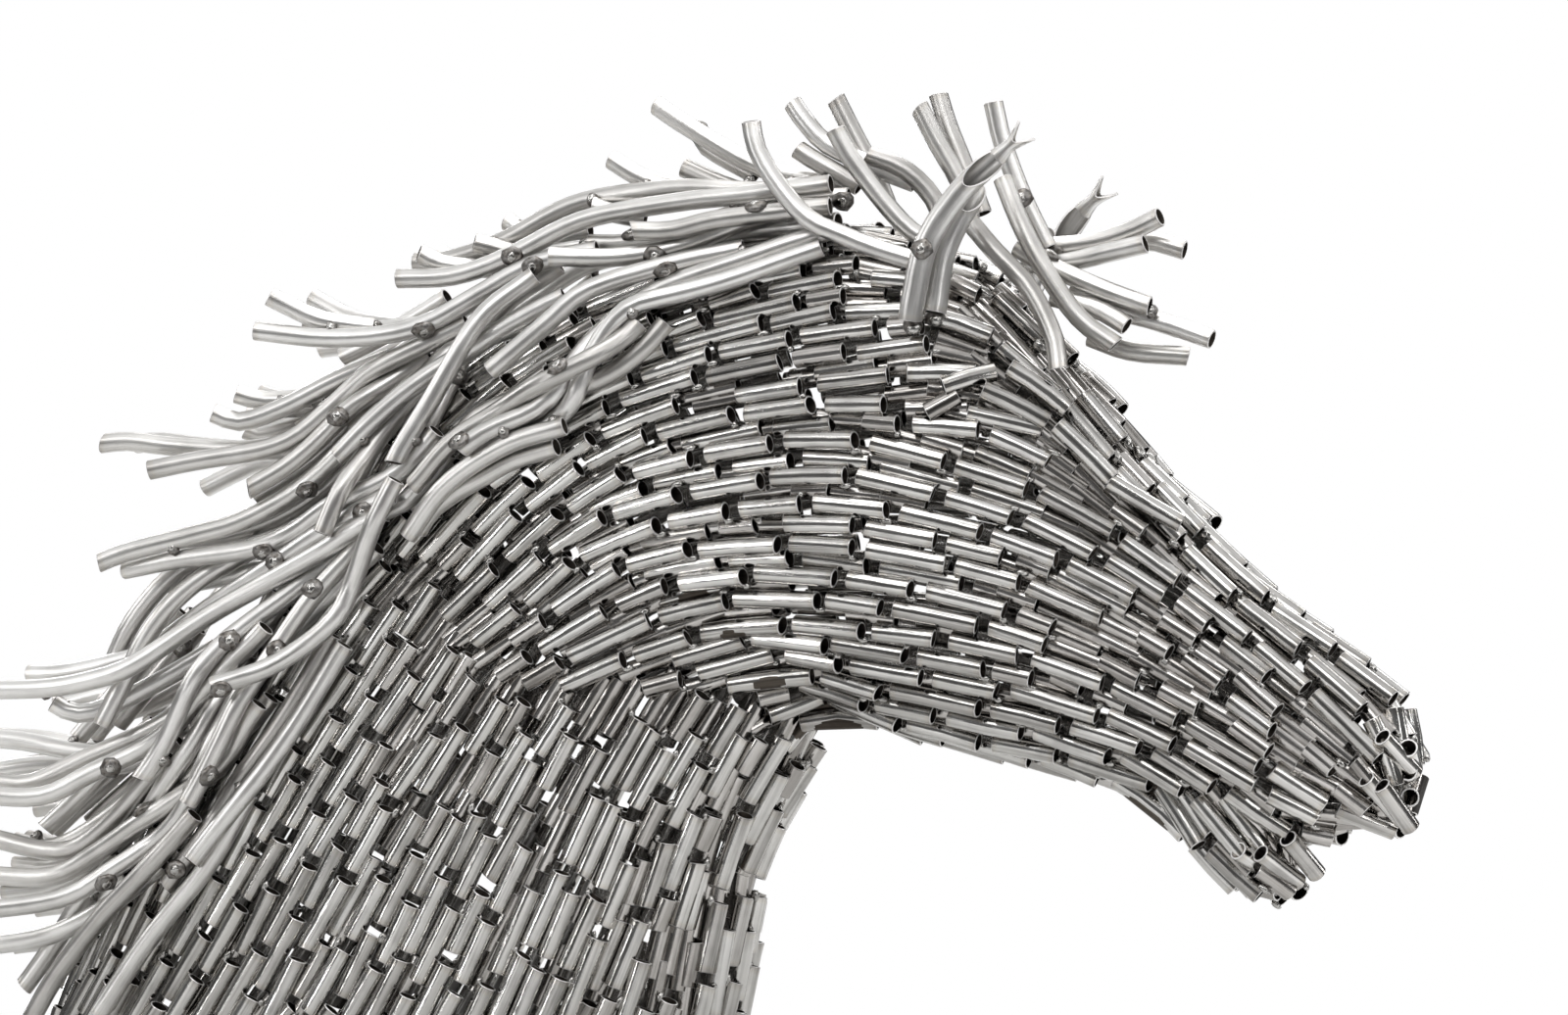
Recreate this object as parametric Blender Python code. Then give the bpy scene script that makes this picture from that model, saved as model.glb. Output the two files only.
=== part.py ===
"""Horse's head and neck welded from short steel tubes, with a mane of long bent tubes.

+X is forward (the muzzle), +Z up, and the side with the better-finished mane is -Y. The origin is the
middle of the flat underside. The form of the animal is free: its points are written on the side view in
parts of HEAD_LENGTH, which at the real size are millimetres. What is tube keeps the tube's own sizes.
"""
import math

import bmesh
import bpy
import numpy as np
from mathutils import Vector
from mathutils.bvhtree import BVHTree

# Driving dimensions, in metres
HEAD_LENGTH = 0.680
TUBE_OD = 0.016
ROW_GAP = 0.0015
EAR_TUBE_OD = 0.020
TUBE_WALL = 0.0015
EAR_BORE_DEPTH = 0.050
HEAD_HALF_WIDTH = 0.108
NECK_HALF_WIDTH = 0.135
CHIN_HALF_WIDTH = 0.042
CHEEK_BULGE = 0.018
BROW_BULGE = 0.014
EAR_BORE_OVERRUN = 0.004

# Values that follow from them
UNIT = HEAD_LENGTH / 680.0
ROW_PITCH = TUBE_OD + ROW_GAP
ROW_DEPTH = 0.36 * TUBE_OD
TUBE_RADIUS = TUBE_OD / 2.0
EAR_RADIUS = EAR_TUBE_OD / 2.0
WELD_RADIUS = 0.2 * TUBE_OD
SAMPLE_STEP = 0.5 * TUBE_OD
BEND_SLACK = 0.25 * TUBE_OD
EAR_BEND_SLACK = 0.08 * EAR_TUBE_OD
VIEW_TURN = 20.0
ROOT_SHARE = 0.7
VIEW_REACH = 3.0 * HEAD_LENGTH
GROUP_CLEARANCE = 0.20 * TUBE_OD
HIDE_CLEARANCE = 0.24 * TUBE_OD
WELD_CLEARANCE = 0.04 * TUBE_OD
SETTLE_ROUNDS = 90
SETTLE_SHARE = 0.35
FLOOR_SHARE = 1.3
SIDEWAYS_SHARE = 2.0
BULGE_FALL = 1.2
OUTLINE_STEPS = 60
CURVE_STEPS = 12
LEAST_LAST_ROW = 0.3 * ROW_PITCH
WELD_SIDES = 4
MERGE_DISTANCE = 0.00005
FAR_TIP_LONGER = 12
FAR_TIP_LOWER = 14

# How square each section is (2 is an ellipse), and the tone and roughness of the two steels
HEAD_SQUARENESS = 2.5
NECK_SQUARENESS = 2.2
CHIN_SQUARENESS = 2.4
SHORT_TUBE_FINISH = (0.52, 0.32)
BENT_TUBE_FINISH = (0.60, 0.30)

# Head sections along the side view: top line (x, z), underside (x, z), share of HEAD_HALF_WIDTH
HEAD_SECTIONS = (
    ((-30, 470), (120, 318), 0.80),
    ((50, 548), (185, 318), 0.94),
    ((140, 602), (238, 316), 1.00),
    ((250, 645), (295, 312), 1.00),
    ((385, 678), (355, 300), 1.00),
    ((480, 668), (420, 268), 0.98),
    ((550, 618), (475, 252), 0.94),
    ((605, 552), (540, 240), 0.85),
    ((655, 490), (600, 225), 0.76),
    ((710, 425), (660, 213), 0.68),
    ((760, 380), (710, 195), 0.62),
    ((810, 345), (760, 175), 0.58),
    ((855, 322), (808, 160), 0.58),
    ((880, 304), (846, 154), 0.54),
    ((890, 286), (874, 176), 0.42),
)
HEAD_COURSES = 11

# Neck sections: front of the throat (x, z), crest (x, z), share of NECK_HALF_WIDTH
NECK_SECTIONS = (
    ((305, 0), (-305, 0), 1.00),
    ((306, 70), (-275, 70), 0.99),
    ((325, 155), (-220, 170), 0.95),
    ((355, 225), (-165, 280), 0.90),
    ((385, 270), (-80, 410), 0.82),
    ((405, 340), (30, 530), 0.74),
    ((412, 410), (175, 615), 0.68),
    ((430, 500), (325, 650), 0.62),
)
NECK_COURSES = 5

# Chin sections: front (x, z), back (x, z), share of CHIN_HALF_WIDTH
CHIN_SECTIONS = (
    ((755, 240), (655, 232), 1.00),
    ((765, 200), (675, 200), 1.00),
    ((785, 172), (695, 165), 0.95),
    ((797, 150), (718, 138), 0.85),
    ((792, 130), (752, 118), 0.60),
)
CHIN_COURSES = 5

# Bulges on both sides of the head: centre (x, z), radius, depth in metres
BULGES = (
    ((425, 415), 150, CHEEK_BULGE),
    ((535, 560), 62, BROW_BULGE),
    ((835, 250), 45, 0.35 * BROW_BULGE),
)

# Bent tubes of the mane, forelock and ears: depth of the tip, then the route from tip to root. The routes
# are drawn as seen from VIEW_TURN in front of the side, (along, up), so that a tube keeps its place in that
# view at any depth. Depth is measured from the middle plane, negative to the near side.
UPPER_MANE = (
    (-55, (8, 632), (56, 634), (104, 650), (164, 680), (244, 692), (316, 690), (364, 696)),
    (-85, (-108, 590), (-52, 584), (0, 586), (36, 594), (76, 618), (120, 642), (172, 654)),
    (-78, (-96, 618), (-76, 608), (-52, 598), (-10, 592)),
    (-40, (24, 654), (44, 644), (76, 640)),
    (-20, (72, 664), (96, 658), (120, 650)),
    (0, (94, 680), (108, 670), (132, 668), (164, 672)),
    (-20, (168, 694), (184, 688), (212, 682)),
    (-10, (178, 728), (204, 712), (236, 704), (324, 704)),
    (10, (218, 774), (244, 756), (308, 718), (372, 706)),
    (40, (252, 760), (260, 740), (300, 716)),
    (30, (240, 724), (276, 708), (316, 696)),
    (-70, (200, 666), (236, 666), (276, 676), (364, 686)),
    (-70, (296, 760), (304, 728), (340, 676), (376, 658), (428, 642)),
    (-10, (330, 732), (348, 720), (380, 700)),
    (0, (328, 774), (340, 756), (362, 734), (428, 708)),
    (20, (364, 780), (380, 748), (396, 718), (408, 688)),
    (-50, (364, 752), (380, 724), (424, 668), (456, 650)),
    (-30, (388, 732), (420, 720), (444, 696), (452, 674)),
    (10, (432, 772), (448, 740), (464, 712), (474, 680)),
    (40, (448, 782), (456, 756), (468, 726), (484, 684)),
    (-90, (132, 650), (180, 650), (220, 656), (292, 672), (364, 674)),
)
MIDDLE_MANE = (
    (-100, (16, 476), (28, 500), (44, 532), (60, 564), (84, 604), (122, 634)),
    (-80, (-196, 476), (-156, 484), (-84, 496), (-44, 520), (4, 552), (68, 588)),
    (-62, (-236, 498), (-212, 500), (-176, 496), (-116, 494), (-56, 506)),
    (-60, (-144, 524), (-120, 516), (-84, 528), (-40, 550), (4, 568)),
    (-50, (-124, 538), (-100, 532), (-62, 534)),
    (-115, (84, 556), (132, 596), (164, 622), (228, 640), (292, 650)),
    (-115, (66, 492), (100, 516), (148, 540), (180, 576), (228, 616), (300, 646), (364, 668)),
    (-105, (28, 460), (68, 500), (132, 530), (164, 552), (204, 596)),
    (-90, (-238, 400), (-212, 410), (-156, 424), (-116, 436), (-60, 468), (4, 524)),
    (-70, (-216, 394), (-172, 402), (-104, 410), (-44, 432), (4, 460), (44, 508)),
    (-105, (-40, 418), (-24, 460), (-4, 504), (36, 552)),
    (-80, (-116, 460), (-76, 484), (-28, 524), (36, 572)),
    (-100, (-36, 484), (20, 540), (84, 584), (148, 616)),
    (-40, (-76, 508), (-28, 544), (28, 584)),
    (-20, (-52, 544), (4, 572), (60, 606)),
    (-110, (20, 424), (52, 468), (100, 504), (148, 520)),
)
LOWER_MANE = (
    (-90, (-328, 296), (-276, 298), (-236, 306), (-204, 318), (-152, 354), (-108, 380), (-40, 416), (4, 436)),
    (-120, (-134, 294), (-88, 310), (-40, 348), (-20, 388), (-4, 424), (20, 468)),
    (-80, (-276, 288), (-256, 278), (-228, 284), (-180, 308), (-140, 332)),
    (-90, (-236, 268), (-196, 344), (-156, 388), (-108, 416)),
    (-40, (-344, 258), (-300, 256), (-224, 246), (-172, 268)),
    (-20, (-332, 228), (-284, 236), (-232, 238), (-188, 252)),
    (-90, (-344, 212), (-284, 210), (-240, 230), (-172, 260), (-124, 296), (-84, 340)),
    (-70, (-348, 146), (-276, 144), (-236, 164), (-196, 192), (-140, 232), (-100, 284)),
    (-110, (-340, 116), (-268, 126), (-228, 146), (-172, 186), (-128, 244), (-100, 308)),
    (-60, (-336, 86), (-276, 96), (-228, 120), (-180, 156)),
    (-90, (-292, 28), (-268, 68), (-228, 116), (-184, 156), (-148, 196)),
    (-110, (-236, 32), (-196, 92), (-148, 156), (-116, 212)),
    (-100, (-196, 220), (-144, 288), (-76, 372), (-20, 428)),
    (-110, (-152, 204), (-104, 288), (-60, 364), (-8, 436)),
    (-30, (-256, 256), (-212, 308), (-168, 360)),
    (-50, (-324, 174), (-260, 162), (-212, 188), (-164, 228)),
    (-20, (-284, 180), (-236, 224), (-188, 268)),
    (-60, (-300, 52), (-260, 104), (-212, 156)),
    (-100, (-180, 136), (-132, 204), (-88, 276), (-44, 348)),
)
FAR_SIDE_MANE = (UPPER_MANE[1:2] + MIDDLE_MANE[0:2] + MIDDLE_MANE[5:7] + MIDDLE_MANE[9:10]
                 + LOWER_MANE[0:2] + LOWER_MANE[6:8] + LOWER_MANE[12:14])
FORELOCK = (
    (-5, (492, 774), (500, 740), (516, 696), (536, 654)),
    (-30, (592, 576), (564, 596), (540, 628), (516, 672), (500, 712)),
    (-65, (544, 556), (540, 584), (520, 624), (492, 654), (472, 678)),
    (10, (616, 662), (588, 656), (552, 650), (516, 650)),
    (35, (646, 654), (616, 662), (580, 660), (540, 656)),
    (20, (628, 680), (604, 668), (572, 658), (532, 654)),
    (-10, (620, 608), (588, 620), (552, 638), (516, 660)),
    (0, (668, 582), (628, 596), (592, 606), (556, 624)),
    (-20, (600, 592), (576, 606), (540, 616)),
    (20, (652, 568), (604, 572), (570, 584)),
    (30, (644, 590), (604, 604), (574, 622)),
)
NEAR_EAR = (
    (-100, (518, 750), (492, 726), (464, 698), (440, 656), (432, 596)),
    (-76, (500, 736), (476, 700), (450, 652), (440, 600)),
)
FAR_EAR = (
    (-100, (518, 708), (492, 684), (474, 656), (452, 624), (438, 590)),
    (-78, (500, 698), (478, 668), (460, 634), (446, 594)),
)


def clear_scene():
    for item in list(bpy.data.objects):
        bpy.data.objects.remove(item, do_unlink=True)


def make_collection(name):
    group = bpy.data.collections.new(name)
    bpy.context.scene.collection.children.link(group)
    return group


def make_steel(name, tone, roughness):
    material = bpy.data.materials.new(name)
    material.use_nodes = True
    shader = material.node_tree.nodes["Principled BSDF"]
    shader.inputs["Base Color"].default_value = (tone, 0.98 * tone, 0.95 * tone, 1.0)
    shader.inputs["Metallic"].default_value = 1.0
    shader.inputs["Roughness"].default_value = roughness
    return material


def add_object(name, bm, group, material=None):
    mesh = bpy.data.meshes.new(name)
    bm.to_mesh(mesh)
    bm.free()
    item = bpy.data.objects.new(name, mesh)
    group.objects.link(item)
    if material is not None:
        mesh.materials.append(material)
    return item


def smooth_stations(sections, count):
    """Even stations on smooth curves through the chosen sections."""
    table = np.array([(a[0], a[1], b[0], b[1], w) for a, b, w in sections], dtype=float)
    middle = (table[:, 0:2] + table[:, 2:4]) / 2.0
    steps = np.linalg.norm(np.diff(middle, axis=0), axis=1)
    along = np.concatenate(([0.0], np.cumsum(steps)))
    slopes = np.gradient(table, along, axis=0)
    stations = []
    for place in np.linspace(0.0, along[-1], count):
        i = min(int(np.searchsorted(along, place, side="right")) - 1, len(along) - 2)
        run = along[i + 1] - along[i]
        t = (place - along[i]) / run
        low = table[i] * (2 * t**3 - 3 * t**2 + 1) + slopes[i] * run * (t**3 - 2 * t**2 + t)
        high = table[i + 1] * (3 * t**2 - 2 * t**3) + slopes[i + 1] * run * (t**3 - t**2)
        stations.append(low + high)
    return stations


def half_section(station, half_width, flatness, bulges):
    """Points from the anchor line round one side to the keel, in metres."""
    anchor = np.array((station[0], 0.0, station[1])) * UNIT
    keel = np.array((station[2], 0.0, station[3])) * UNIT
    centre = (anchor + keel) / 2.0
    reach = (anchor - keel) / 2.0
    points = []
    for turn in np.linspace(0.0, math.pi, OUTLINE_STEPS):
        c, s = math.cos(turn), math.sin(turn)
        along = math.copysign(abs(c) ** (2.0 / flatness), c)
        out = abs(s) ** (2.0 / flatness) * half_width * station[4]
        point = centre + reach * along
        for (x, z), radius, depth in bulges:
            away = math.hypot(point[0] - x * UNIT, point[2] - z * UNIT) / (radius * UNIT)
            out += depth * math.exp(-((away * BULGE_FALL) ** 2)) * abs(s)
        points.append((point[0], -out, point[2]))
    return np.array(points)


def row_section(points, depth):
    """The half section sampled at half rows: a ridge for each row of tubes and a groove between."""
    steps = np.linalg.norm(np.diff(points, axis=0), axis=1)
    along = np.concatenate(([0.0], np.cumsum(steps)))
    places = np.arange(0.0, along[-1] - LEAST_LAST_ROW, ROW_PITCH / 2.0)
    ring = np.column_stack([np.interp(places, along, points[:, k]) for k in range(3)])
    centre = (points[0] + points[-1]) / 2.0
    inward = centre - ring
    inward /= np.maximum(np.linalg.norm(inward, axis=1), 1e-9)[:, None]
    grooves = np.arange(len(ring)) % 2 == 1
    ring[grooves] += inward[grooves] * depth
    ring[0, 1] = 0.0
    return ring, points[-1]


def loft(name, sections, count, half_width, flatness, bulges, depth, group):
    """A closed body of rows that keep their pitch and run out on the keel."""
    bm = bmesh.new()
    rings = []
    for station in smooth_stations(sections, count):
        ring, keel = row_section(half_section(station, half_width, flatness, bulges), depth)
        sides = []
        start = bm.verts.new(ring[0])
        end = bm.verts.new(keel)
        for mirror in (1.0, -1.0):
            between = [bm.verts.new((p[0], mirror * p[1], p[2])) for p in ring[1:]]
            sides.append([start] + between + [end])
        rings.append(sides)
    for before, after in zip(rings[:-1], rings[1:]):
        for near, far in zip(before, after):
            for column in range(max(len(near), len(far)) - 1):
                corners = []
                for chain, index in ((near, column), (near, column + 1), (far, column + 1), (far, column)):
                    vertex = chain[min(index, len(chain) - 1)]
                    if vertex not in corners:
                        corners.append(vertex)
                if len(corners) > 2:
                    bm.faces.new(corners)
    for sides in (rings[0], rings[-1]):
        bm.faces.new(sides[0] + sides[1][-2:0:-1])
    bmesh.ops.recalc_face_normals(bm, faces=bm.faces)
    bmesh.ops.triangulate(bm, faces=bm.faces)
    return add_object(name, bm, group)


def make_bodies(depth, group, tag):
    """Head, neck and chin as separate closed lofts, with grooves of the given depth."""
    head = loft("head" + tag, HEAD_SECTIONS, HEAD_COURSES, HEAD_HALF_WIDTH, HEAD_SQUARENESS, BULGES, depth, group)
    neck = loft("neck" + tag, NECK_SECTIONS, NECK_COURSES, NECK_HALF_WIDTH, NECK_SQUARENESS, (), depth, group)
    chin = loft("chin" + tag, CHIN_SECTIONS, CHIN_COURSES, CHIN_HALF_WIDTH, CHIN_SQUARENESS, (), depth, group)
    return head, neck, chin


def hide_cutter(item):
    item.hide_render = True
    item.display_type = "WIRE"


def apply_boolean(item, others, operation):
    for other in others:
        modifier = item.modifiers.new(operation.lower() + "_" + other.name, "BOOLEAN")
        modifier.operation = operation
        modifier.object = other
        modifier.solver = "MANIFOLD"
        hide_cutter(other)


def evaluated_tree(items):
    """One search tree over the surfaces of several objects."""
    graph = bpy.context.evaluated_depsgraph_get()
    points, faces = [], []
    for item in items:
        shape = item.evaluated_get(graph)
        mesh = shape.to_mesh()
        first = len(points)
        points += [item.matrix_world @ v.co for v in mesh.vertices]
        faces += [[first + i for i in face.vertices] for face in mesh.polygons]
        shape.to_mesh_clear()
    return BVHTree.FromPolygons(points, faces)


def in_view(along, up, into):
    """A place given by its position in the turned view and its distance into that view."""
    turn = math.radians(VIEW_TURN)
    right = np.array((math.cos(turn), math.sin(turn), 0.0))
    inward = np.array((-math.sin(turn), math.cos(turn), 0.0))
    return right * along + inward * into + np.array((0.0, 0.0, up))


def into_for_depth(along, depth):
    """The distance into the view at which a place of the view has the depth asked for."""
    turn = math.radians(VIEW_TURN)
    return (depth - along * math.sin(turn)) / math.cos(turn)


def near_face(tree, along, up):
    """Distance into the view of the hide at a place of the view, or None beyond its outline."""
    start = Vector(in_view(along, up, -VIEW_REACH))
    hit = tree.ray_cast(start, Vector(in_view(0.0, 0.0, 1.0)))
    return None if hit[0] is None else hit[3] - VIEW_REACH


def resample(points, step):
    """Places at even steps on a smooth curve through the route's own points."""
    points = np.array(points, dtype=float)
    padded = np.vstack((2 * points[0] - points[1], points, 2 * points[-1] - points[-2]))
    dense = []
    for i in range(1, len(padded) - 2):
        a, b, c, d = padded[i - 1 : i + 3]
        for t in np.linspace(0.0, 1.0, CURVE_STEPS, endpoint=False):
            dense.append(0.5 * (2 * b + (c - a) * t + (2 * a - 5 * b + 4 * c - d) * t**2
                                + (3 * b - a - 3 * c + d) * t**3))
    dense.append(points[-1])
    dense = np.array(dense)
    along = np.concatenate(([0.0], np.cumsum(np.linalg.norm(np.diff(dense, axis=0), axis=1))))
    places = np.linspace(0.0, along[-1], max(3, int(round(along[-1] / step)) + 1))
    return np.column_stack([np.interp(places, along, dense[:, k]) for k in range(2)])


class Tube:
    """One bent tube: its centre line, its radius and the group that it is welded into."""

    def __init__(self, group, route, radius, tree, mirrored):
        tip_depth, *places = route
        self.group = group
        self.radius = radius
        line = resample([(along * UNIT, up * UNIT) for along, up in places], SAMPLE_STEP)
        faces = [near_face(tree, along, up) for along, up in line]
        tip = into_for_depth(line[0, 0], tip_depth * UNIT)
        free_root = into_for_depth(line[-1, 0], ROOT_SHARE * tip_depth * UNIT)
        root = free_root if faces[-1] is None else faces[-1] - radius
        into = np.linspace(tip, root, len(line))
        for i, face in enumerate(faces):
            if face is not None and tip_depth < 0:
                into[i] = min(into[i], face - radius)
        self.points = np.array([in_view(along, up, t) for (along, up), t in zip(line, into)])
        if mirrored:
            self.points[:, 1] *= -1.0
        self.start = self.points.copy()


def push_off_hide(tubes, tree, clearance):
    for tube in tubes:
        least = tube.radius + clearance
        for i, point in enumerate(tube.points):
            spot, normal, _, away = tree.find_nearest(Vector(point))
            outside = (Vector(point) - spot).dot(normal) > 0
            if outside and away < least:
                tube.points[i] += np.array((Vector(point) - spot).normalized()) * (least - away)
            elif not outside:
                tube.points[i] = np.array(spot + normal * least)


def push_apart(tubes, touch, clearance):
    """Moves crossing tubes apart: welded neighbours until they touch, other groups until they clear."""
    points = np.vstack([tube.points for tube in tubes])
    owner = np.concatenate([[k] * len(tube.points) for k, tube in enumerate(tubes)])
    group = np.array([tube.group for tube in tubes])[owner]
    radius = np.array([tube.radius for tube in tubes])[owner]
    move = np.zeros_like(points)
    for k, tube in enumerate(tubes):
        mine = owner == k
        others = ~mine
        gap = points[mine][:, None, :] - points[others][None, :, :]
        away = np.linalg.norm(gap, axis=2)
        same = group[mine][:, None] == group[others][None, :]
        want = tube.radius + radius[others][None, :] + np.where(same, touch, clearance)
        lack = np.maximum(want - away, 0.0)
        pick = np.argmax(lack, axis=1)
        rows = np.arange(len(pick))
        shove = gap[rows, pick] / np.maximum(away[rows, pick], 1e-6)[:, None]
        shove[:, 1] *= SIDEWAYS_SHARE
        move[mine] = shove * lack[rows, pick][:, None] * SETTLE_SHARE
    start = 0
    for tube in tubes:
        end = start + len(tube.points)
        tube.points += move[start:end]
        start = end


def smooth_moves(tubes):
    for tube in tubes:
        drift = tube.points - tube.start
        inner = drift[1:-1] * 0.5 + (drift[:-2] + drift[2:]) * 0.25
        drift[1:-1] = inner
        drift[0] = drift[1]
        drift[-1] = drift[-2]
        tube.points = tube.start + drift


def settle(tubes, tree):
    """Works the tubes free of each other and of the hide, and keeps them above the base."""
    for _ in range(SETTLE_ROUNDS):
        push_apart(tubes, WELD_CLEARANCE, GROUP_CLEARANCE)
        smooth_moves(tubes)
        push_off_hide(tubes, tree, HIDE_CLEARANCE)
    for tube in tubes:
        tube.points[:, 2] = np.maximum(tube.points[:, 2], tube.radius * FLOOR_SHARE)


def bend_points(points, first, last, slack):
    """The fewest points of a centre line that stay within the slack of it."""
    chord = points[last] - points[first]
    chord = chord / max(np.linalg.norm(chord), 1e-9)
    offset = points[first : last + 1] - points[first]
    away = np.linalg.norm(offset - np.outer(offset @ chord, chord), axis=1)
    worst = int(np.argmax(away))
    if away[worst] < slack:
        return [first, last]
    middle = first + worst
    return bend_points(points, first, middle, slack)[:-1] + bend_points(points, middle, last, slack)


def tube_object(name, points, radius, group, resolution, slack):
    """A bent tube as a mesh: a bevelled curve, made a mesh, with its caps welded."""
    picks = bend_points(points, 0, len(points) - 1, slack)
    curve = bpy.data.curves.new(name, "CURVE")
    curve.dimensions = "3D"
    curve.bevel_depth = radius
    curve.bevel_resolution = resolution
    curve.use_fill_caps = True
    spline = curve.splines.new("POLY")
    spline.points.add(len(picks) - 1)
    for target, i in zip(spline.points, picks):
        target.co = (*points[i], 1.0)
    source = bpy.data.objects.new(name + "_curve", curve)
    bpy.context.scene.collection.objects.link(source)
    graph = bpy.context.evaluated_depsgraph_get()
    mesh = bpy.data.meshes.new_from_object(source.evaluated_get(graph))
    bm = bmesh.new()
    bm.from_mesh(mesh)
    bmesh.ops.remove_doubles(bm, verts=bm.verts, dist=MERGE_DISTANCE)
    bmesh.ops.recalc_face_normals(bm, faces=bm.faces)
    bm.to_mesh(mesh)
    bm.free()
    item = bpy.data.objects.new(name, mesh)
    item.matrix_world = source.matrix_world
    group.objects.link(item)
    bpy.data.objects.remove(source, do_unlink=True)
    return item


def closest_points(first, second):
    """The nearest pair of centre-line points of two tubes, and their distance."""
    away = np.linalg.norm(first.points[:, None, :] - second.points[None, :, :], axis=2)
    i, j = np.unravel_index(np.argmin(away), away.shape)
    return away[i, j], first.points[i], second.points[j]


def weld_links(tubes):
    """The fewest and shortest welds that make one body of a group of tubes."""
    joined, loose, links = [tubes[0]], list(tubes[1:]), []
    while loose:
        pairs = [(*closest_points(a, b), b) for a in joined for b in loose]
        away, start, end, tube = min(pairs, key=lambda pair: pair[0])
        links.append((start, end))
        joined.append(tube)
        loose.remove(tube)
    return links


def weld_bead(name, start, end, group):
    """A four-sided lump of weld from one centre line to the other."""
    line = Vector(end) - Vector(start)
    bm = bmesh.new()
    bmesh.ops.create_cone(bm, cap_ends=True, segments=WELD_SIDES, radius1=WELD_RADIUS, radius2=WELD_RADIUS,
                          depth=line.length)
    item = add_object(name, bm, group)
    item.rotation_euler = line.to_track_quat("Z", "Y").to_euler()
    item.location = (Vector(start) + Vector(end)) / 2.0
    return item


def fuse(name, tubes, part, cutters, material, resolution, slack):
    """One welded group of tubes as one body."""
    pieces = [tube_object(f"{name}_tube_{k}", t.points, t.radius, cutters, resolution, slack)
              for k, t in enumerate(tubes)]
    beads = [weld_bead(f"{name}_weld_{k}", start, end, cutters)
             for k, (start, end) in enumerate(weld_links(tubes))]
    body = bpy.data.objects.new(name, pieces[0].data.copy())
    part.objects.link(body)
    apply_boolean(body, pieces[1:] + beads, "UNION")
    hide_cutter(pieces[0])
    body.data.materials.clear()
    body.data.materials.append(material)
    return body


def bore_mouth(body, tube, cutters):
    """The open end of a tube, bored to a depth that the eye can't pass."""
    count = max(2, int(round(EAR_BORE_DEPTH / SAMPLE_STEP)))
    line = tube.points[:count]
    outward = (line[0] - line[1]) / np.linalg.norm(line[0] - line[1])
    line = np.vstack((line[0] + outward * EAR_BORE_OVERRUN, line[1:]))
    bore = tube_object(body.name + "_bore", line, tube.radius - TUBE_WALL, cutters, 2, EAR_BEND_SLACK)
    apply_boolean(body, (bore,), "DIFFERENCE")


def far_side_of(routes):
    """The chosen tubes of the near side again, with each tip a little longer and lower."""
    chosen = []
    for tip_depth, (along, up), *places in routes:
        chosen.append((tip_depth, (along - FAR_TIP_LONGER, up - FAR_TIP_LOWER), *places))
    return chosen


def main():
    clear_scene()
    part = make_collection("pipe_horse_sculpture")
    cutters = make_collection("cutters")
    hide_steel = make_steel("short_tube_steel", *SHORT_TUBE_FINISH)
    mane_steel = make_steel("bent_tube_steel", *BENT_TUBE_FINISH)

    guides = make_bodies(0.0, cutters, "_guide")
    for guide in guides:
        hide_cutter(guide)
    tree = evaluated_tree(guides)

    head, neck, chin = make_bodies(ROW_DEPTH, cutters, "_rows")
    cutters.objects.unlink(neck)
    part.objects.link(neck)
    neck.name = "hide"
    neck.data.materials.append(hide_steel)
    apply_boolean(neck, (head, chin), "UNION")

    sides = (
        ("mane_upper", UPPER_MANE, TUBE_RADIUS, False),
        ("mane_middle", MIDDLE_MANE, TUBE_RADIUS, False),
        ("mane_lower", LOWER_MANE, TUBE_RADIUS, False),
        ("mane_far_side", far_side_of(FAR_SIDE_MANE), TUBE_RADIUS, True),
        ("forelock", FORELOCK, TUBE_RADIUS, False),
        ("ear_near", NEAR_EAR, EAR_RADIUS, False),
        ("ear_far", FAR_EAR, EAR_RADIUS, True),
    )
    tubes = [Tube(group, route, radius, tree, mirrored)
             for group, routes, radius, mirrored in sides for route in routes]
    settle(tubes, tree)
    for group, routes, radius, mirrored in sides:
        chosen = [tube for tube in tubes if tube.group == group]
        is_ear = radius == EAR_RADIUS
        fineness = (2, EAR_BEND_SLACK) if is_ear else (1, BEND_SLACK)
        body = fuse(group, chosen, part, cutters, mane_steel, *fineness)
        if is_ear:
            bore_mouth(body, chosen[0], cutters)


main()
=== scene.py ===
"""The finish of the welded horse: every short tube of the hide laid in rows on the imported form, the bent
tubes of the mane, forelock and ears as hollow tubes, the welds between them, and a pale studio."""
import math
from collections import defaultdict
from itertools import combinations, product

import bmesh
import bpy
import numpy as np
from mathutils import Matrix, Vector, noise
from mathutils.bvhtree import BVHTree

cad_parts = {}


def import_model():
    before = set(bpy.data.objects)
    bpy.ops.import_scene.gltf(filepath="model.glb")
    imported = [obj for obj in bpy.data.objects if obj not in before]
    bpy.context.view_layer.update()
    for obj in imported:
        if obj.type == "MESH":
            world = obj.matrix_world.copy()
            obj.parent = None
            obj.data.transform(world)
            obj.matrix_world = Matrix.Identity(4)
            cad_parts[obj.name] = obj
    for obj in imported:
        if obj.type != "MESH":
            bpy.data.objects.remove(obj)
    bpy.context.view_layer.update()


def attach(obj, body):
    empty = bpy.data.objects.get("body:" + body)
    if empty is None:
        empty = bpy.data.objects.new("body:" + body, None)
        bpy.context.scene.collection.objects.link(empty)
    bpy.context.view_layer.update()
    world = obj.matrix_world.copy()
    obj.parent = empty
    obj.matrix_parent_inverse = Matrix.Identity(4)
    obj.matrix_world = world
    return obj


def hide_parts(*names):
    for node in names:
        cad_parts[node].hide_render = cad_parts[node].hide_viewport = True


# The head's length in metres, and the unit in which places in the view are given, a thousandth of a metre
HEAD_LENGTH = 0.680
UNIT = HEAD_LENGTH / 680.0
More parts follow.
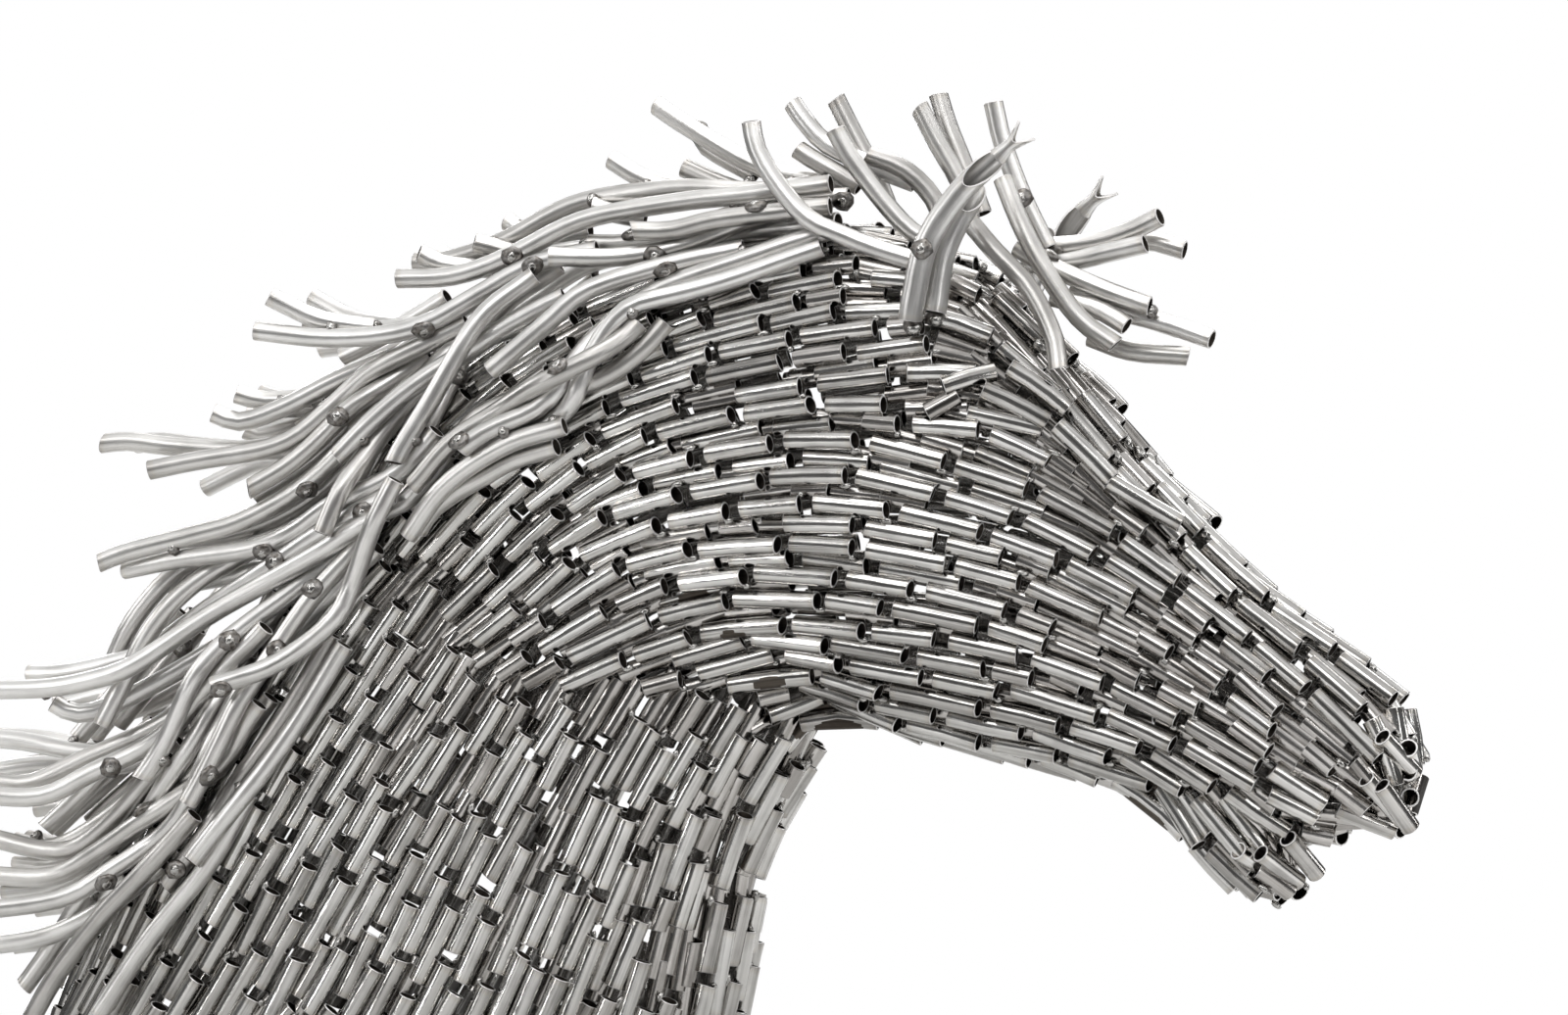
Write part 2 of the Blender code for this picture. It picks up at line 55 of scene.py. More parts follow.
# Tubes, in metres: the rim's rounding, and how far from an end the sawn rim is painted
TUBE_OD = 0.016
TUBE_RADIUS = TUBE_OD / 2.0
TUBE_WALL = 0.0015
EAR_TUBE_OD = 0.020
EAR_RADIUS = EAR_TUBE_OD / 2.0
SAMPLE_STEP = 0.5 * TUBE_OD
RIM_ROUND = 0.0005
RIM_REACH = 0.0003
# The angle in degrees above which an edge stays sharp, and the width of a tube that isn't pinched
SHARP_ANGLE = 35.0
EVEN_WIDTH = ((0.0, 1.0),)

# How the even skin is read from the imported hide
SKIN_VOXEL = 0.007
SKIN_SOFTENING = 14
NORMAL_ROUNDS = 6
TOP_PERCENTILE = 80

# Rows of the hide: how they are traced
LAY_FALL = 1.5
ROW_STEP = 0.004
ROW_LONGEST = 600
SHARPEST_TURN = 0.2
SEAM_OVERSHOOT = 4
BASE_CUT = 0.001
ROW_SPACING = 0.0170
ROW_CLOSEST = 0.0148
LOWEST_SEED = 0.008
SEED_SLACK = 0.985
SEED_EVERY = 3
FIRST_PHASE = 0.3
PHASE_JITTER = 0.12

# Rows between those, closer and set deeper
FILL_SPACING = 0.0118
FILL_REACH = 1.04
FILL_CLOSEST = 0.95
FILL_DEPTH = 0.0085

# The short tubes of a row: their period, the gaps, and how far each one strays from its line
TUBE_PERIOD = 0.071
CUT_JITTER = 0.13
END_GAP = 0.0105
GAP_RANGE = (0.55, 1.35)
LEAST_TUBE = 0.026
LINE_POINTS = 4
STRAIGHT_SHARE = 0.7
CURVED_SHARE = 0.3
TILT = (-0.0012, 0.0026)
TILT_JITTER = 0.0012
SWAY = 0.0014
MUZZLE_FRONT = 0.878
HIDE_SIDES = 14
HIDE_SLANT = 0.003
# How far apart the rings of the short tubes lie
ROW_RINGS = 0.030
PATCH_RINGS = 0.040
EYE_RINGS = 0.020
OPEN_END_RINGS = 0.015
CUT_TURNS = 6.28

# Single deeper tubes behind what the rows leave open
PATCH_REACH = 0.0098
PATCH_DEPTH = 0.0120
PATCH_HALF = (0.022, 0.030)
PATCH_LOWEST = 0.012
PATCH_PLACES = 14
TUBE_PLACES = 16

# The view in which the rows and routes are drawn: degrees in front of the side
VIEW_TURN = 20.0
VIEW_REACH = 3.0 * HEAD_LENGTH

# Bent tubes: how they are drawn, pushed apart and made fuller
CURVE_STEPS = 12
ROOT_SHARE = 0.7
SETTLE_ROUNDS = 80
SETTLE_SHARE = 0.35
SIDEWAYS_SHARE = 2.0
TOUCH_GAP = 0.06 * TUBE_OD
HIDE_GAP = 0.04 * TUBE_OD
FLOOR_SHARE = 1.3
SIDE_REACH = 0.141
FAR_TIP_LONGER = 12
FAR_TIP_LOWER = 14
FULLER_SHARE = 0.6
COMPANION_SHIFT = (6, 15)
COMPANION_START = (0.55, 0.45)
COMPANION_DEEPEST = 30
BENT_SLANT = 0.006

# The photograph's frame in the turned view, in metres
FRAME_WIDTH = 1.28
FRAME_CENTRE = (0.323, 0.446)
CAMERA_DISTANCE = 20.0
SENSOR_WIDTH = 36.0

FLOOR_RADIUS = 1.5
WHITE = (1.0, 1.0, 1.0)

SEED = 7

# Lay of the rows, as seen in the turned view: along, up, degrees above level
HEAD_LAY = (
    (67, 412, 46), (131, 476, 37), (131, 380, 40), (60, 500, 44), (179, 524, 26), (195, 348, 25),
    (215, 540, 14), (243, 580, 16), (243, 460, 12), (250, 390, 9), (243, 340, 13), (310, 600, 12),
    (320, 555, 10), (312, 468, 8), (300, 500, 9), (375, 590, 9), (395, 615, 6), (390, 552, 9),
    (430, 575, 12), (425, 530, 10), (325, 425, 1), (323, 350, 4), (392, 480, -12), (385, 515, -6),
    (372, 400, -8), (435, 489, -18), (462, 467, -15), (537, 443, -21), (403, 300, -9), (483, 284, -11),
    (460, 400, -15), (563, 380, -25), (563, 260, -16), (540, 545, -30), (600, 430, -30),
    (643, 348, -33), (643, 252, -26), (690, 225, -32), (710, 214, -36), (768, 202, -47), (791, 196, -46),
    (800, 210, -54), (825, 198, -58), (790, 238, -43), (798, 240, -47), (717, 348, -42), (773, 314, -45),
    (804, 284, -50), (723, 284, -38), (655, 180, -50), (687, 188, -44), (726, 148, -44), (672, 200, -52),
    (523, 596, -38), (571, 556, -50), (611, 500, -58), (651, 444, -52), (699, 396, -44), (755, 350, -42),
)
NECK_LAY = (
    (275, 60, 81), (299, 156, 76), (331, 220, 62), (363, 268, 50), (243, 252, 58), (243, 140, 70),
    (163, 140, 66), (163, 20, 68), (43, 140, 63), (43, 20, 65), (-77, 140, 60), (-77, 20, 60),
    (-37, 300, 55), (43, 284, 57), (131, 284, 60), (-197, 60, 56), (-141, 180, 60), (-60, 420, 50),
)
JAW_SEAM = (
    (-60, 520), (3, 400), (50, 345), (100, 318), (131, 308), (203, 306), (243, 300), (291, 288),
    (323, 268), (352, 258), (420, 235),
)

# Bent tubes of the mane, forelock and ears: depth of the tip, then the route from tip to root. The routes
# are drawn as seen from VIEW_TURN in front of the side, (along, up), so that a tube keeps its place in that
# view at any depth. Depth is measured from the middle plane, negative to the near side.
UPPER_MANE = (
    (-55, (8, 632), (56, 634), (104, 650), (164, 680), (244, 692), (316, 690), (364, 696)),
    (-85, (-108, 590), (-52, 584), (0, 586), (36, 594), (76, 618), (120, 642), (172, 654)),
    (-78, (-96, 618), (-76, 608), (-52, 598), (-10, 592)),
    (-40, (24, 654), (44, 644), (76, 640)),
    (-20, (72, 664), (96, 658), (120, 650)),
    (0, (94, 680), (108, 670), (132, 668), (164, 672)),
    (-20, (168, 694), (184, 688), (212, 682)),
    (-10, (178, 728), (204, 712), (236, 704), (324, 704)),
    (10, (218, 774), (244, 756), (308, 718), (372, 706)),
    (40, (252, 760), (260, 740), (300, 716)),
    (30, (240, 724), (276, 708), (316, 696)),
    (-70, (200, 666), (236, 666), (276, 676), (364, 686)),
    (-70, (296, 760), (304, 728), (340, 676), (376, 658), (428, 642)),
    (-10, (330, 732), (348, 720), (380, 700)),
    (0, (328, 774), (340, 756), (362, 734), (428, 708)),
    (20, (364, 780), (380, 748), (396, 718), (408, 688)),
    (-50, (364, 752), (380, 724), (424, 668), (456, 650)),
    (-30, (388, 732), (420, 720), (444, 696), (452, 674)),
    (10, (432, 772), (448, 740), (464, 712), (474, 680)),
    (40, (448, 782), (456, 756), (468, 726), (484, 684)),
    (-90, (132, 650), (180, 650), (220, 656), (292, 672), (364, 674)),
)
MIDDLE_MANE = (
    (-100, (16, 476), (28, 500), (44, 532), (60, 564), (84, 604), (122, 634)),
    (-80, (-196, 476), (-156, 484), (-84, 496), (-44, 520), (4, 552), (68, 588)),
    (-62, (-236, 498), (-212, 500), (-176, 496), (-116, 494), (-56, 506)),
    (-60, (-144, 524), (-120, 516), (-84, 528), (-40, 550), (4, 568)),
    (-50, (-124, 538), (-100, 532), (-62, 534)),
    (-115, (84, 556), (132, 596), (164, 622), (228, 640), (292, 650)),
    (-115, (66, 492), (100, 516), (148, 540), (180, 576), (228, 616), (300, 646), (364, 668)),
    (-105, (28, 460), (68, 500), (132, 530), (164, 552), (204, 596)),
    (-90, (-238, 400), (-212, 410), (-156, 424), (-116, 436), (-60, 468), (4, 524)),
    (-70, (-216, 394), (-172, 402), (-104, 410), (-44, 432), (4, 460), (44, 508)),
    (-105, (-40, 418), (-24, 460), (-4, 504), (36, 552)),
    (-80, (-116, 460), (-76, 484), (-28, 524), (36, 572)),
    (-100, (-36, 484), (20, 540), (84, 584), (148, 616)),
    (-40, (-76, 508), (-28, 544), (28, 584)),
    (-20, (-52, 544), (4, 572), (60, 606)),
    (-110, (20, 424), (52, 468), (100, 504), (148, 520)),
)
LOWER_MANE = (
    (-90, (-328, 296), (-276, 298), (-236, 306), (-204, 318), (-152, 354), (-108, 380), (-40, 416), (4, 436)),
    (-120, (-134, 294), (-88, 310), (-40, 348), (-20, 388), (-4, 424), (20, 468)),
    (-80, (-276, 288), (-256, 278), (-228, 284), (-180, 308), (-140, 332)),
    (-90, (-236, 268), (-196, 344), (-156, 388), (-108, 416)),
    (-40, (-344, 258), (-300, 256), (-224, 246), (-172, 268)),
    (-20, (-332, 228), (-284, 236), (-232, 238), (-188, 252)),
    (-90, (-344, 212), (-284, 210), (-240, 230), (-172, 260), (-124, 296), (-84, 340)),
    (-70, (-348, 146), (-276, 144), (-236, 164), (-196, 192), (-140, 232), (-100, 284)),
    (-110, (-340, 116), (-268, 126), (-228, 146), (-172, 186), (-128, 244), (-100, 308)),
    (-60, (-336, 86), (-276, 96), (-228, 120), (-180, 156)),
    (-90, (-292, 28), (-268, 68), (-228, 116), (-184, 156), (-148, 196)),
    (-110, (-236, 32), (-196, 92), (-148, 156), (-116, 212)),
    (-100, (-196, 220), (-144, 288), (-76, 372), (-20, 428)),
    (-110, (-152, 204), (-104, 288), (-60, 364), (-8, 436)),
    (-30, (-256, 256), (-212, 308), (-168, 360)),
    (-50, (-324, 174), (-260, 162), (-212, 188), (-164, 228)),
    (-20, (-284, 180), (-236, 224), (-188, 268)),
    (-60, (-300, 52), (-260, 104), (-212, 156)),
    (-100, (-180, 136), (-132, 204), (-88, 276), (-44, 348)),
)
FAR_SIDE_MANE = (UPPER_MANE[1:2] + MIDDLE_MANE[0:2] + MIDDLE_MANE[5:7] + MIDDLE_MANE[9:10]
                 + LOWER_MANE[0:2] + LOWER_MANE[6:8] + LOWER_MANE[12:14])
FORELOCK = (
    (-5, (492, 774), (500, 740), (516, 696), (536, 654)),
    (-30, (592, 576), (564, 596), (540, 628), (516, 672), (500, 712)),
    (-65, (544, 556), (540, 584), (520, 624), (492, 654), (472, 678)),
    (10, (616, 662), (588, 656), (552, 650), (516, 650)),
    (35, (646, 654), (616, 662), (580, 660), (540, 656)),
    (20, (628, 680), (604, 668), (572, 658), (532, 654)),
    (-10, (620, 608), (588, 620), (552, 638), (516, 660)),
    (0, (668, 582), (628, 596), (592, 606), (556, 624)),
    (-20, (600, 592), (576, 606), (540, 616)),
    (20, (652, 568), (604, 572), (570, 584)),
    (30, (644, 590), (604, 604), (574, 622)),
)
NEAR_EAR = (
    (-100, (518, 750), (492, 726), (464, 698), (440, 656), (432, 596)),
    (-76, (500, 736), (476, 700), (450, 652), (440, 600)),
)
FAR_EAR = (
    (-100, (518, 708), (492, 684), (474, 656), (452, 624), (438, 590)),
    (-78, (500, 698), (478, 668), (460, 634), (446, 594)),
)


TURN = math.radians(VIEW_TURN)
RIGHT = np.array((math.cos(TURN), math.sin(TURN), 0.0))
INWARD = np.array((-math.sin(TURN), math.cos(TURN), 0.0))
UPWARD = (0.0, 0.0, 1.0)
BOTH_SIDES = (np.array((1.0, 1.0, 1.0)), np.array((1.0, -1.0, 1.0)))


def in_view(along, up, into):
    """A place given by its position in the turned view and its distance into that view."""
    return RIGHT * along + INWARD * into + np.array((0.0, 0.0, up))


def seen_at(point):
    """The turned-view position of a place, taken on the near side."""
    return point[0] * math.cos(TURN) - abs(point[1]) * math.sin(TURN), point[2]


def into_for_depth(along, depth):
    """The distance into the view of a place at some depth from the middle plane."""
    return (depth - along * math.sin(TURN)) / math.cos(TURN)


def run_along(line):
    """How far each point of a line lies from its first point."""
    return np.concatenate(([0.0], np.cumsum(np.linalg.norm(np.diff(line, axis=0), axis=1))))


def at_places(places, run, table):
    """The rows of a table at any distances along it."""
    return np.stack([np.interp(places, run, column) for column in table.T], axis=-1)


class Skin:
    """The smooth outer form of the hide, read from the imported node."""

    def __init__(self, node):
        copy = node.copy()
        copy.data = node.data.copy()
        bpy.context.scene.collection.objects.link(copy)
        copy.hide_viewport = False
        remesh = copy.modifiers.new("even", "REMESH")
        remesh.mode = "VOXEL"
        remesh.voxel_size = SKIN_VOXEL
        soften = copy.modifiers.new("soften", "SMOOTH")
        soften.factor = 0.5
        soften.iterations = SKIN_SOFTENING
        shape = copy.evaluated_get(bpy.context.evaluated_depsgraph_get())
        mesh = shape.to_mesh()
        self.points = np.array([v.co for v in mesh.vertices])
        self.faces = [tuple(face.vertices) for face in mesh.polygons]
        normals = np.array([v.normal for v in mesh.vertices])
        edges = np.array([tuple(edge.vertices) for edge in mesh.edges])
        shape.to_mesh_clear()
        bpy.data.objects.remove(copy, do_unlink=True)
        for _ in range(NORMAL_ROUNDS):
            total = normals.copy()
            np.add.at(total, edges[:, 0], normals[edges[:, 1]])
            np.add.at(total, edges[:, 1], normals[edges[:, 0]])
            normals = total / np.linalg.norm(total, axis=1)[:, None]
        self.normals = normals
        tree = BVHTree.FromPolygons(self.points.tolist(), self.faces)
        tops = []
        for vertex in node.data.vertices:
            spot, normal, _, _ = tree.find_nearest(vertex.co)
            tops.append((vertex.co - spot).dot(normal))
        self.points = self.points + normals * float(np.percentile(tops, TOP_PERCENTILE))
        self.tree = BVHTree.FromPolygons(self.points.tolist(), self.faces)

    def nearest(self, point):
        """The place of the skin nearest to a point, its outward normal and its distance."""
        spot, _, face, away = self.tree.find_nearest(Vector(point))
        normal = self.normals[list(self.faces[face])].mean(axis=0)
        return np.array(spot), normal / np.linalg.norm(normal), away

    def near_face(self, along, up):
        """How far into the view the near side lies here, or None beside the horse."""
        start = Vector(in_view(along, up, -VIEW_REACH))
        hit = self.tree.ray_cast(start, Vector(INWARD))
        return None if hit[0] is None else hit[3] - VIEW_REACH


class Lay:
    """The direction of the rows anywhere, blended from the lay drawn at a few places."""

    def __init__(self, places):
        table = np.array(places, dtype=float)
        self.where = table[:, :2] * UNIT
        turn = np.radians(table[:, 2])
        self.lines = np.column_stack((np.cos(2 * turn), np.sin(2 * turn)))

    def angle(self, along, up):
        away = np.sum((self.where - np.array((along, up))) ** 2, axis=1) + 1e-6
        weight = 1.0 / away**LAY_FALL
        cos2, sin2 = weight @ self.lines
        return 0.5 * math.atan2(sin2, cos2)


HEAD_FIELD = Lay(HEAD_LAY)
NECK_FIELD = Lay(NECK_LAY)
SEAM = np.array(JAW_SEAM, dtype=float) * UNIT


def above_seam(along, up):
    """Whether a place of the view belongs to the head, above the edge of the jaw."""
    return up > np.interp(along, SEAM[:, 0], SEAM[:, 1], left=math.inf, right=-math.inf)


def row_direction(point, normal, as_head=None):
    """The way a row runs here, and whether the place is on the head."""
    along, up = seen_at(point)
    is_head = above_seam(along, up)
    if as_head is None:
        as_head = is_head
    angle = (HEAD_FIELD if as_head else NECK_FIELD).angle(along, up)
    slope = math.atan2(math.sin(angle) * math.cos(TURN), math.cos(angle))
    line = np.array((math.cos(slope), 0.0, math.sin(slope)))
    line -= normal * (line @ normal)
    return line / max(np.linalg.norm(line), 1e-9), is_head


class Grid:
    """Points kept by cell, to find quickly whether a row runs too near another."""

    def __init__(self, cell):
        self.cell = cell
        self.cells = defaultdict(list)

    def key(self, point):
        return tuple(int(math.floor(c / self.cell)) for c in point)

    def add(self, point, owner):
        self.cells[self.key(point)].append((point[0], point[1], point[2], owner))

    def near(self, point, reach, skip=None):
        """Whether a kept point that isn't skip's own lies within reach."""
        x, y, z = point
        limit = reach * reach
        for cell in product(*((c - 1, c, c + 1) for c in self.key(point))):
            for px, py, pz, owner in self.cells.get(cell, ()):
                if owner != skip and (px - x) ** 2 + (py - y) ** 2 + (pz - z) ** 2 < limit:
                    return True
        return False


def facing(line, ahead):
    """A line turned round if it runs against the way ahead."""
    return line * (1.0 if line @ ahead > 0 else -1.0)


def grow(skin, grid, seed, number, closest):
    """A row traced both ways from a seed until it meets another row, the jaw's edge or the base."""
    spot, normal, _ = skin.nearest(seed)
    line, is_head = row_direction(spot, normal)
    halves = []
    for sense in (1.0, -1.0):
        here, heading, up = spot, line * sense, normal
        trail = []
        beyond = 0
        for _ in range(ROW_LONGEST):
            middle, middle_normal, _ = skin.nearest(here + heading * ROW_STEP * 0.5)
            middle_line, _ = row_direction(middle, middle_normal, is_head)
            middle_line = facing(middle_line, heading)
            here, up, _ = skin.nearest(here + middle_line * ROW_STEP)
            turned, same = row_direction(here, up, is_head)
            turned = facing(turned, middle_line)
            beyond = 0 if same == is_head else beyond + 1
            if beyond > SEAM_OVERSHOOT or here[2] < BASE_CUT or turned @ heading < SHARPEST_TURN:
                break
            if grid.near(here, closest, number):
                break
            heading = turned
            trail.append((here, up, turned * sense))
        halves.append(trail)
    return halves[1][::-1] + [(spot, normal, line)] + halves[0], len(halves[1])


def sow(skin, grid, rows, queue, spacing, closest, depth, rng):
    """Rows started from every place of the queue that still has room, each one adding places beside it."""
    for seed, beside in queue:
        if seed[2] < LOWEST_SEED or grid.near(seed, spacing * SEED_SLACK):
            continue
        trail, before = grow(skin, grid, seed, len(rows), closest)
        for point, _, _ in trail:
            grid.add(point, len(rows))
        phase = before * ROW_STEP / TUBE_PERIOD - (beside + 0.5 + rng.uniform(-PHASE_JITTER, PHASE_JITTER))
        rows.append((trail, phase, depth))
        if depth > 0.0:
            continue
        for i in range(0, len(trail), SEED_EVERY):
            point, normal, line = trail[i]
            side = np.cross(normal, line)
            share = i * ROW_STEP / TUBE_PERIOD - phase
            queue += [(skin.nearest(point + side * spacing * sense)[0], share) for sense in (1.0, -1.0)]


# Places of the lay where the first rows start
FIRST_SEEDS = (HEAD_LAY[10], NECK_LAY[8], HEAD_LAY[33], HEAD_LAY[25], HEAD_LAY[37])


def lay_rows(skin):
    """Rows over the whole hide, each started beside an earlier one and half a tube out of step with it."""
    rng = np.random.default_rng(SEED)
    grid = Grid(ROW_SPACING)
    rows = []
    queue = []
    for along, up in np.array(FIRST_SEEDS)[:, :2] * UNIT:
        into = skin.near_face(along, up)
        if into is not None:
            start = in_view(along, up, into)
            queue += [(start * side, FIRST_PHASE) for side in BOTH_SIDES]
    sow(skin, grid, rows, queue, ROW_SPACING, ROW_CLOSEST, 0.0, rng)
    between = []
    for trail, _, _ in rows:
        for point, normal, line in trail[::SEED_EVERY]:
            side = np.cross(normal, line) * FILL_SPACING * FILL_REACH
            between += [(skin.nearest(point + side * sense)[0], 0.0) for sense in (1.0, -1.0)]
    sow(skin, grid, rows, between, FILL_SPACING, FILL_CLOSEST * FILL_SPACING, FILL_DEPTH, rng)
    return rows


def smooth_line(route):
    """Places in metres, at even steps on a smooth curve through a route's own points."""
    points = np.array(route, dtype=float) * UNIT
    padded = np.vstack((2 * points[0] - points[1], points, 2 * points[-1] - points[-2]))
    dense = []
    for i in range(1, len(padded) - 2):
        a, b, c, d = padded[i - 1 : i + 3]
        for t in np.linspace(0.0, 1.0, CURVE_STEPS, endpoint=False):
            dense.append(0.5 * (2 * b + (c - a) * t + (2 * a - 5 * b + 4 * c - d) * t**2
                                + (3 * b - a - 3 * c + d) * t**3))
    dense = np.array(dense + [points[-1]])
    run = run_along(dense)
    count = max(3, int(round(run[-1] / SAMPLE_STEP)) + 1)
    return at_places(np.linspace(0.0, run[-1], count), run, dense)


class Tube:
    """One bent tube: its centre line, its radius and the group that it is welded into."""

    def __init__(self, group, route, radius, skin, mirrored):
        tip_depth, *places = route
        self.group = group
        self.radius = radius
        line = smooth_line(places)
        faces = [skin.near_face(along, up) for along, up in line]
        tip = into_for_depth(line[0, 0], tip_depth * UNIT)
        free_root = into_for_depth(line[-1, 0], ROOT_SHARE * tip_depth * UNIT)
        root = free_root if faces[-1] is None else faces[-1] - radius
        into = np.linspace(tip, root, len(line))
        for i, face in enumerate(faces):
            if face is not None and tip_depth < 0:
                into[i] = min(into[i], face - radius)
        self.points = np.array([in_view(along, up, t) for (along, up), t in zip(line, into)])
        if mirrored:
            self.points[:, 1] *= -1.0
        self.start = self.points.copy()


def push_off_hide(tubes, skin):
    """Moves the points of bent tubes out of the hide and clear of it."""
    for tube in tubes:
        least = tube.radius + HIDE_GAP
        for i, point in enumerate(tube.points):
            spot, normal, _, away = skin.tree.find_nearest(Vector(point))
            outside = (Vector(point) - spot).dot(normal) > 0
            if outside and away < least:
                tube.points[i] += np.array((Vector(point) - spot).normalized()) * (least - away)
            elif not outside:
                tube.points[i] = np.array(spot + normal * least)


def push_apart(tubes):
    """Moves crossing tubes apart until they touch."""
    points = np.vstack([tube.points for tube in tubes])
    owner = np.concatenate([[k] * len(tube.points) for k, tube in enumerate(tubes)])
    radius = np.array([tube.radius for tube in tubes])[owner]
    move = np.zeros_like(points)
    for k, tube in enumerate(tubes):
        mine = owner == k
        others = ~mine
        gap = points[mine][:, None, :] - points[others][None, :, :]
        away = np.linalg.norm(gap, axis=2)
        lack = np.maximum(tube.radius + radius[others][None, :] + TOUCH_GAP - away, 0.0)
        pick = np.argmax(lack, axis=1)
        rows = np.arange(len(pick))
        shove = gap[rows, pick] / np.maximum(away[rows, pick], 1e-6)[:, None]
        shove[:, 1] *= SIDEWAYS_SHARE
        move[mine] = shove * lack[rows, pick][:, None] * SETTLE_SHARE
    for k, tube in enumerate(tubes):
        tube.points += move[owner == k]


def smooth_moves(tubes):
    """Evens out how far each tube has been moved, so that it stays a smooth bend."""
    for tube in tubes:
        drift = tube.points - tube.start
        drift[1:-1] = drift[1:-1] * 0.5 + (drift[:-2] + drift[2:]) * 0.25
        drift[0] = drift[1]
        drift[-1] = drift[-2]
        tube.points = tube.start + drift


def settle(tubes, skin):
    """Pushes tubes off each other and off the hide, and keeps them within reach and above the floor."""
    for _ in range(SETTLE_ROUNDS):
        push_apart(tubes)
        smooth_moves(tubes)
        push_off_hide(tubes, skin)
    for tube in tubes:
        tube.points[:, 1] = np.clip(tube.points[:, 1], -SIDE_REACH, SIDE_REACH)
        tube.points[:, 2] = np.maximum(tube.points[:, 2], tube.radius * FLOOR_SHARE)


def carried_frames(line, hint):
    """Two unit vectors across a centre line, carried along it without twist."""
    tangents = np.gradient(line, axis=0)
    tangents /= np.linalg.norm(tangents, axis=1)[:, None]
    across = np.zeros_like(line)
    carried = np.array(hint, dtype=float)
    for i, tangent in enumerate(tangents):
        carried = carried - tangent * (carried @ tangent)
        carried /= np.linalg.norm(carried)
        across[i] = carried
    return across, np.cross(tangents, across)


def round_angles(sides):
    """The angles at which the sides of a tube lie."""
    return np.arange(sides) * 2.0 * math.pi / sides


def corners(table):
    """A table of rings and sides, read at the four corners of every face between them."""
    beside = np.roll(table, -1, axis=1)
    return np.stack((table, beside, np.roll(beside, -1, axis=0), np.roll(table, -1, axis=0)), axis=2)


def make_mesh(name, places, faces):
    """A smooth mesh of gathered places and faces."""
    mesh = bpy.data.meshes.new(name)
    mesh.from_pydata(np.vstack(places).tolist(), [], np.vstack(faces).tolist())
    mesh.shade_smooth()
    return mesh


class Bank:
    """Gathers the tubes of one piece: places, faces, texture places and what the steel reads."""

    def __init__(self, sides):
        self.sides = sides
        self.places = []
        self.faces = []
        self.corners = []
        self.values = {"end_near": [], "tone": [], "inside": []}
        self.count = 0

    def tube(self, line, radius, tone, hint, spacing, start_cut=0.0, end_cut=0.0, pinch=EVEN_WIDTH, dark=1.0):
        """A hollow tube. Each cut is how far every side of that end stops short, one value a side."""
        sides = self.sides
        line = np.array(line, dtype=float)
        run = run_along(line)
        across, up = carried_frames(line, hint)
        first = np.broadcast_to(start_cut, (sides,))
        last = run[-1] - np.broadcast_to(end_cut, (sides,))
        bore = radius - TUBE_WALL
        outer = np.linspace(0.0, 1.0, max(2, int(round(run[-1] / spacing)) + 1))
        inner = np.linspace(1.0, 0.0, max(2, int(round(run[-1] / spacing / 2.0)) + 1))
        rings = [(0.0, RIM_ROUND, radius, 0.0)]
        rings += [(share, 0.0, radius, 0.0) for share in outer[1:-1]]
        rings += [(1.0, -RIM_ROUND, radius, 0.0), (1.0, 0.0, radius - RIM_ROUND, 0.0)]
        rings += [(share, 0.0, bore, 1.0) for share in inner]
        rings += [(0.0, 0.0, radius - RIM_ROUND, 0.0)]
        share, shift, size, inside = (np.array(column)[:, None] for column in zip(*rings))
        at = first + (last - first) * share + shift
        angle = round_angles(sides)
        middle, side, top = (at_places(at, run, table) for table in (line, across, up))
        width = np.interp(at, *zip(*pinch))[:, :, None]
        places = middle + size[:, :, None] * (side * np.cos(angle)[:, None]
                                              + top * np.sin(angle)[:, None] * width)
        places[:, :, 2] = np.maximum(places[:, :, 2], 0.0)
        lengthwise = corners(at)
        turn = np.broadcast_to((np.arange(sides)[:, None] + (0, 1, 1, 0)) / sides, lengthwise.shape)
        self.places.append(places.reshape(-1, 3))
        self.faces.append(corners(np.arange(at.size).reshape(at.shape)).reshape(-1, 4) + self.count)
        self.corners.append(np.stack((turn, lengthwise), axis=3).reshape(-1, 2))
        self.values["end_near"].append(np.minimum(at - first, last - at).reshape(-1))
        self.values["tone"].append(np.full(at.size, tone))
        # The inner rings carry dark, the strength of the painted shade that darkens the inner wall
        self.values["inside"].append(np.broadcast_to(inside * dark, at.shape).reshape(-1))
        self.count += at.size

    def tree(self):
        return BVHTree.FromPolygons(np.vstack(self.places).tolist(), np.vstack(self.faces).tolist())

    def piece(self, name, material, node, slot):
        mesh = make_mesh(name, self.places, self.faces)
        layer = mesh.uv_layers.new(name="round_and_along")
        layer.data.foreach_set("uv", np.vstack(self.corners).ravel())
        for key, parts in self.values.items():
            mesh.attributes.new(key, "FLOAT", "POINT").data.foreach_set("value", np.concatenate(parts))
        mesh.set_sharp_from_angle(angle=math.radians(SHARP_ANGLE))
        placed(name, mesh, material, node)


def put(name, data):
    """A new object in the scene."""
    item = bpy.data.objects.new(name, data)
    bpy.context.scene.collection.objects.link(item)
    return item


def placed(name, mesh, material, node):
    """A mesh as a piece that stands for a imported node."""
    item = put(name, mesh)
    mesh.materials.append(material)
    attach(item, "root")
    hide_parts(node)


# The patch of the hide kept free of rows for the eye: along, up, half widths, in the turned view
EYE_PATCH = (487, 533, 41, 19)


def in_eye(point):
    """Whether a place lies in the patch kept free of rows for the eye."""
    along, up = seen_at(point)
    middle_along, middle_up, half_along, half_up = EYE_PATCH
    dx = (along / UNIT - middle_along) / half_along
    dz = (up / UNIT - middle_up) / half_up
    return dx * dx + dz * dz < 1.0


def held_back(line):
    """A tube of the muzzle drawn back until it doesn't stand out in front."""
    over = max(0.0, float(line[:, 0].max()) - MUZZLE_FRONT)
    return line - np.array((over, 0.0, 0.0))


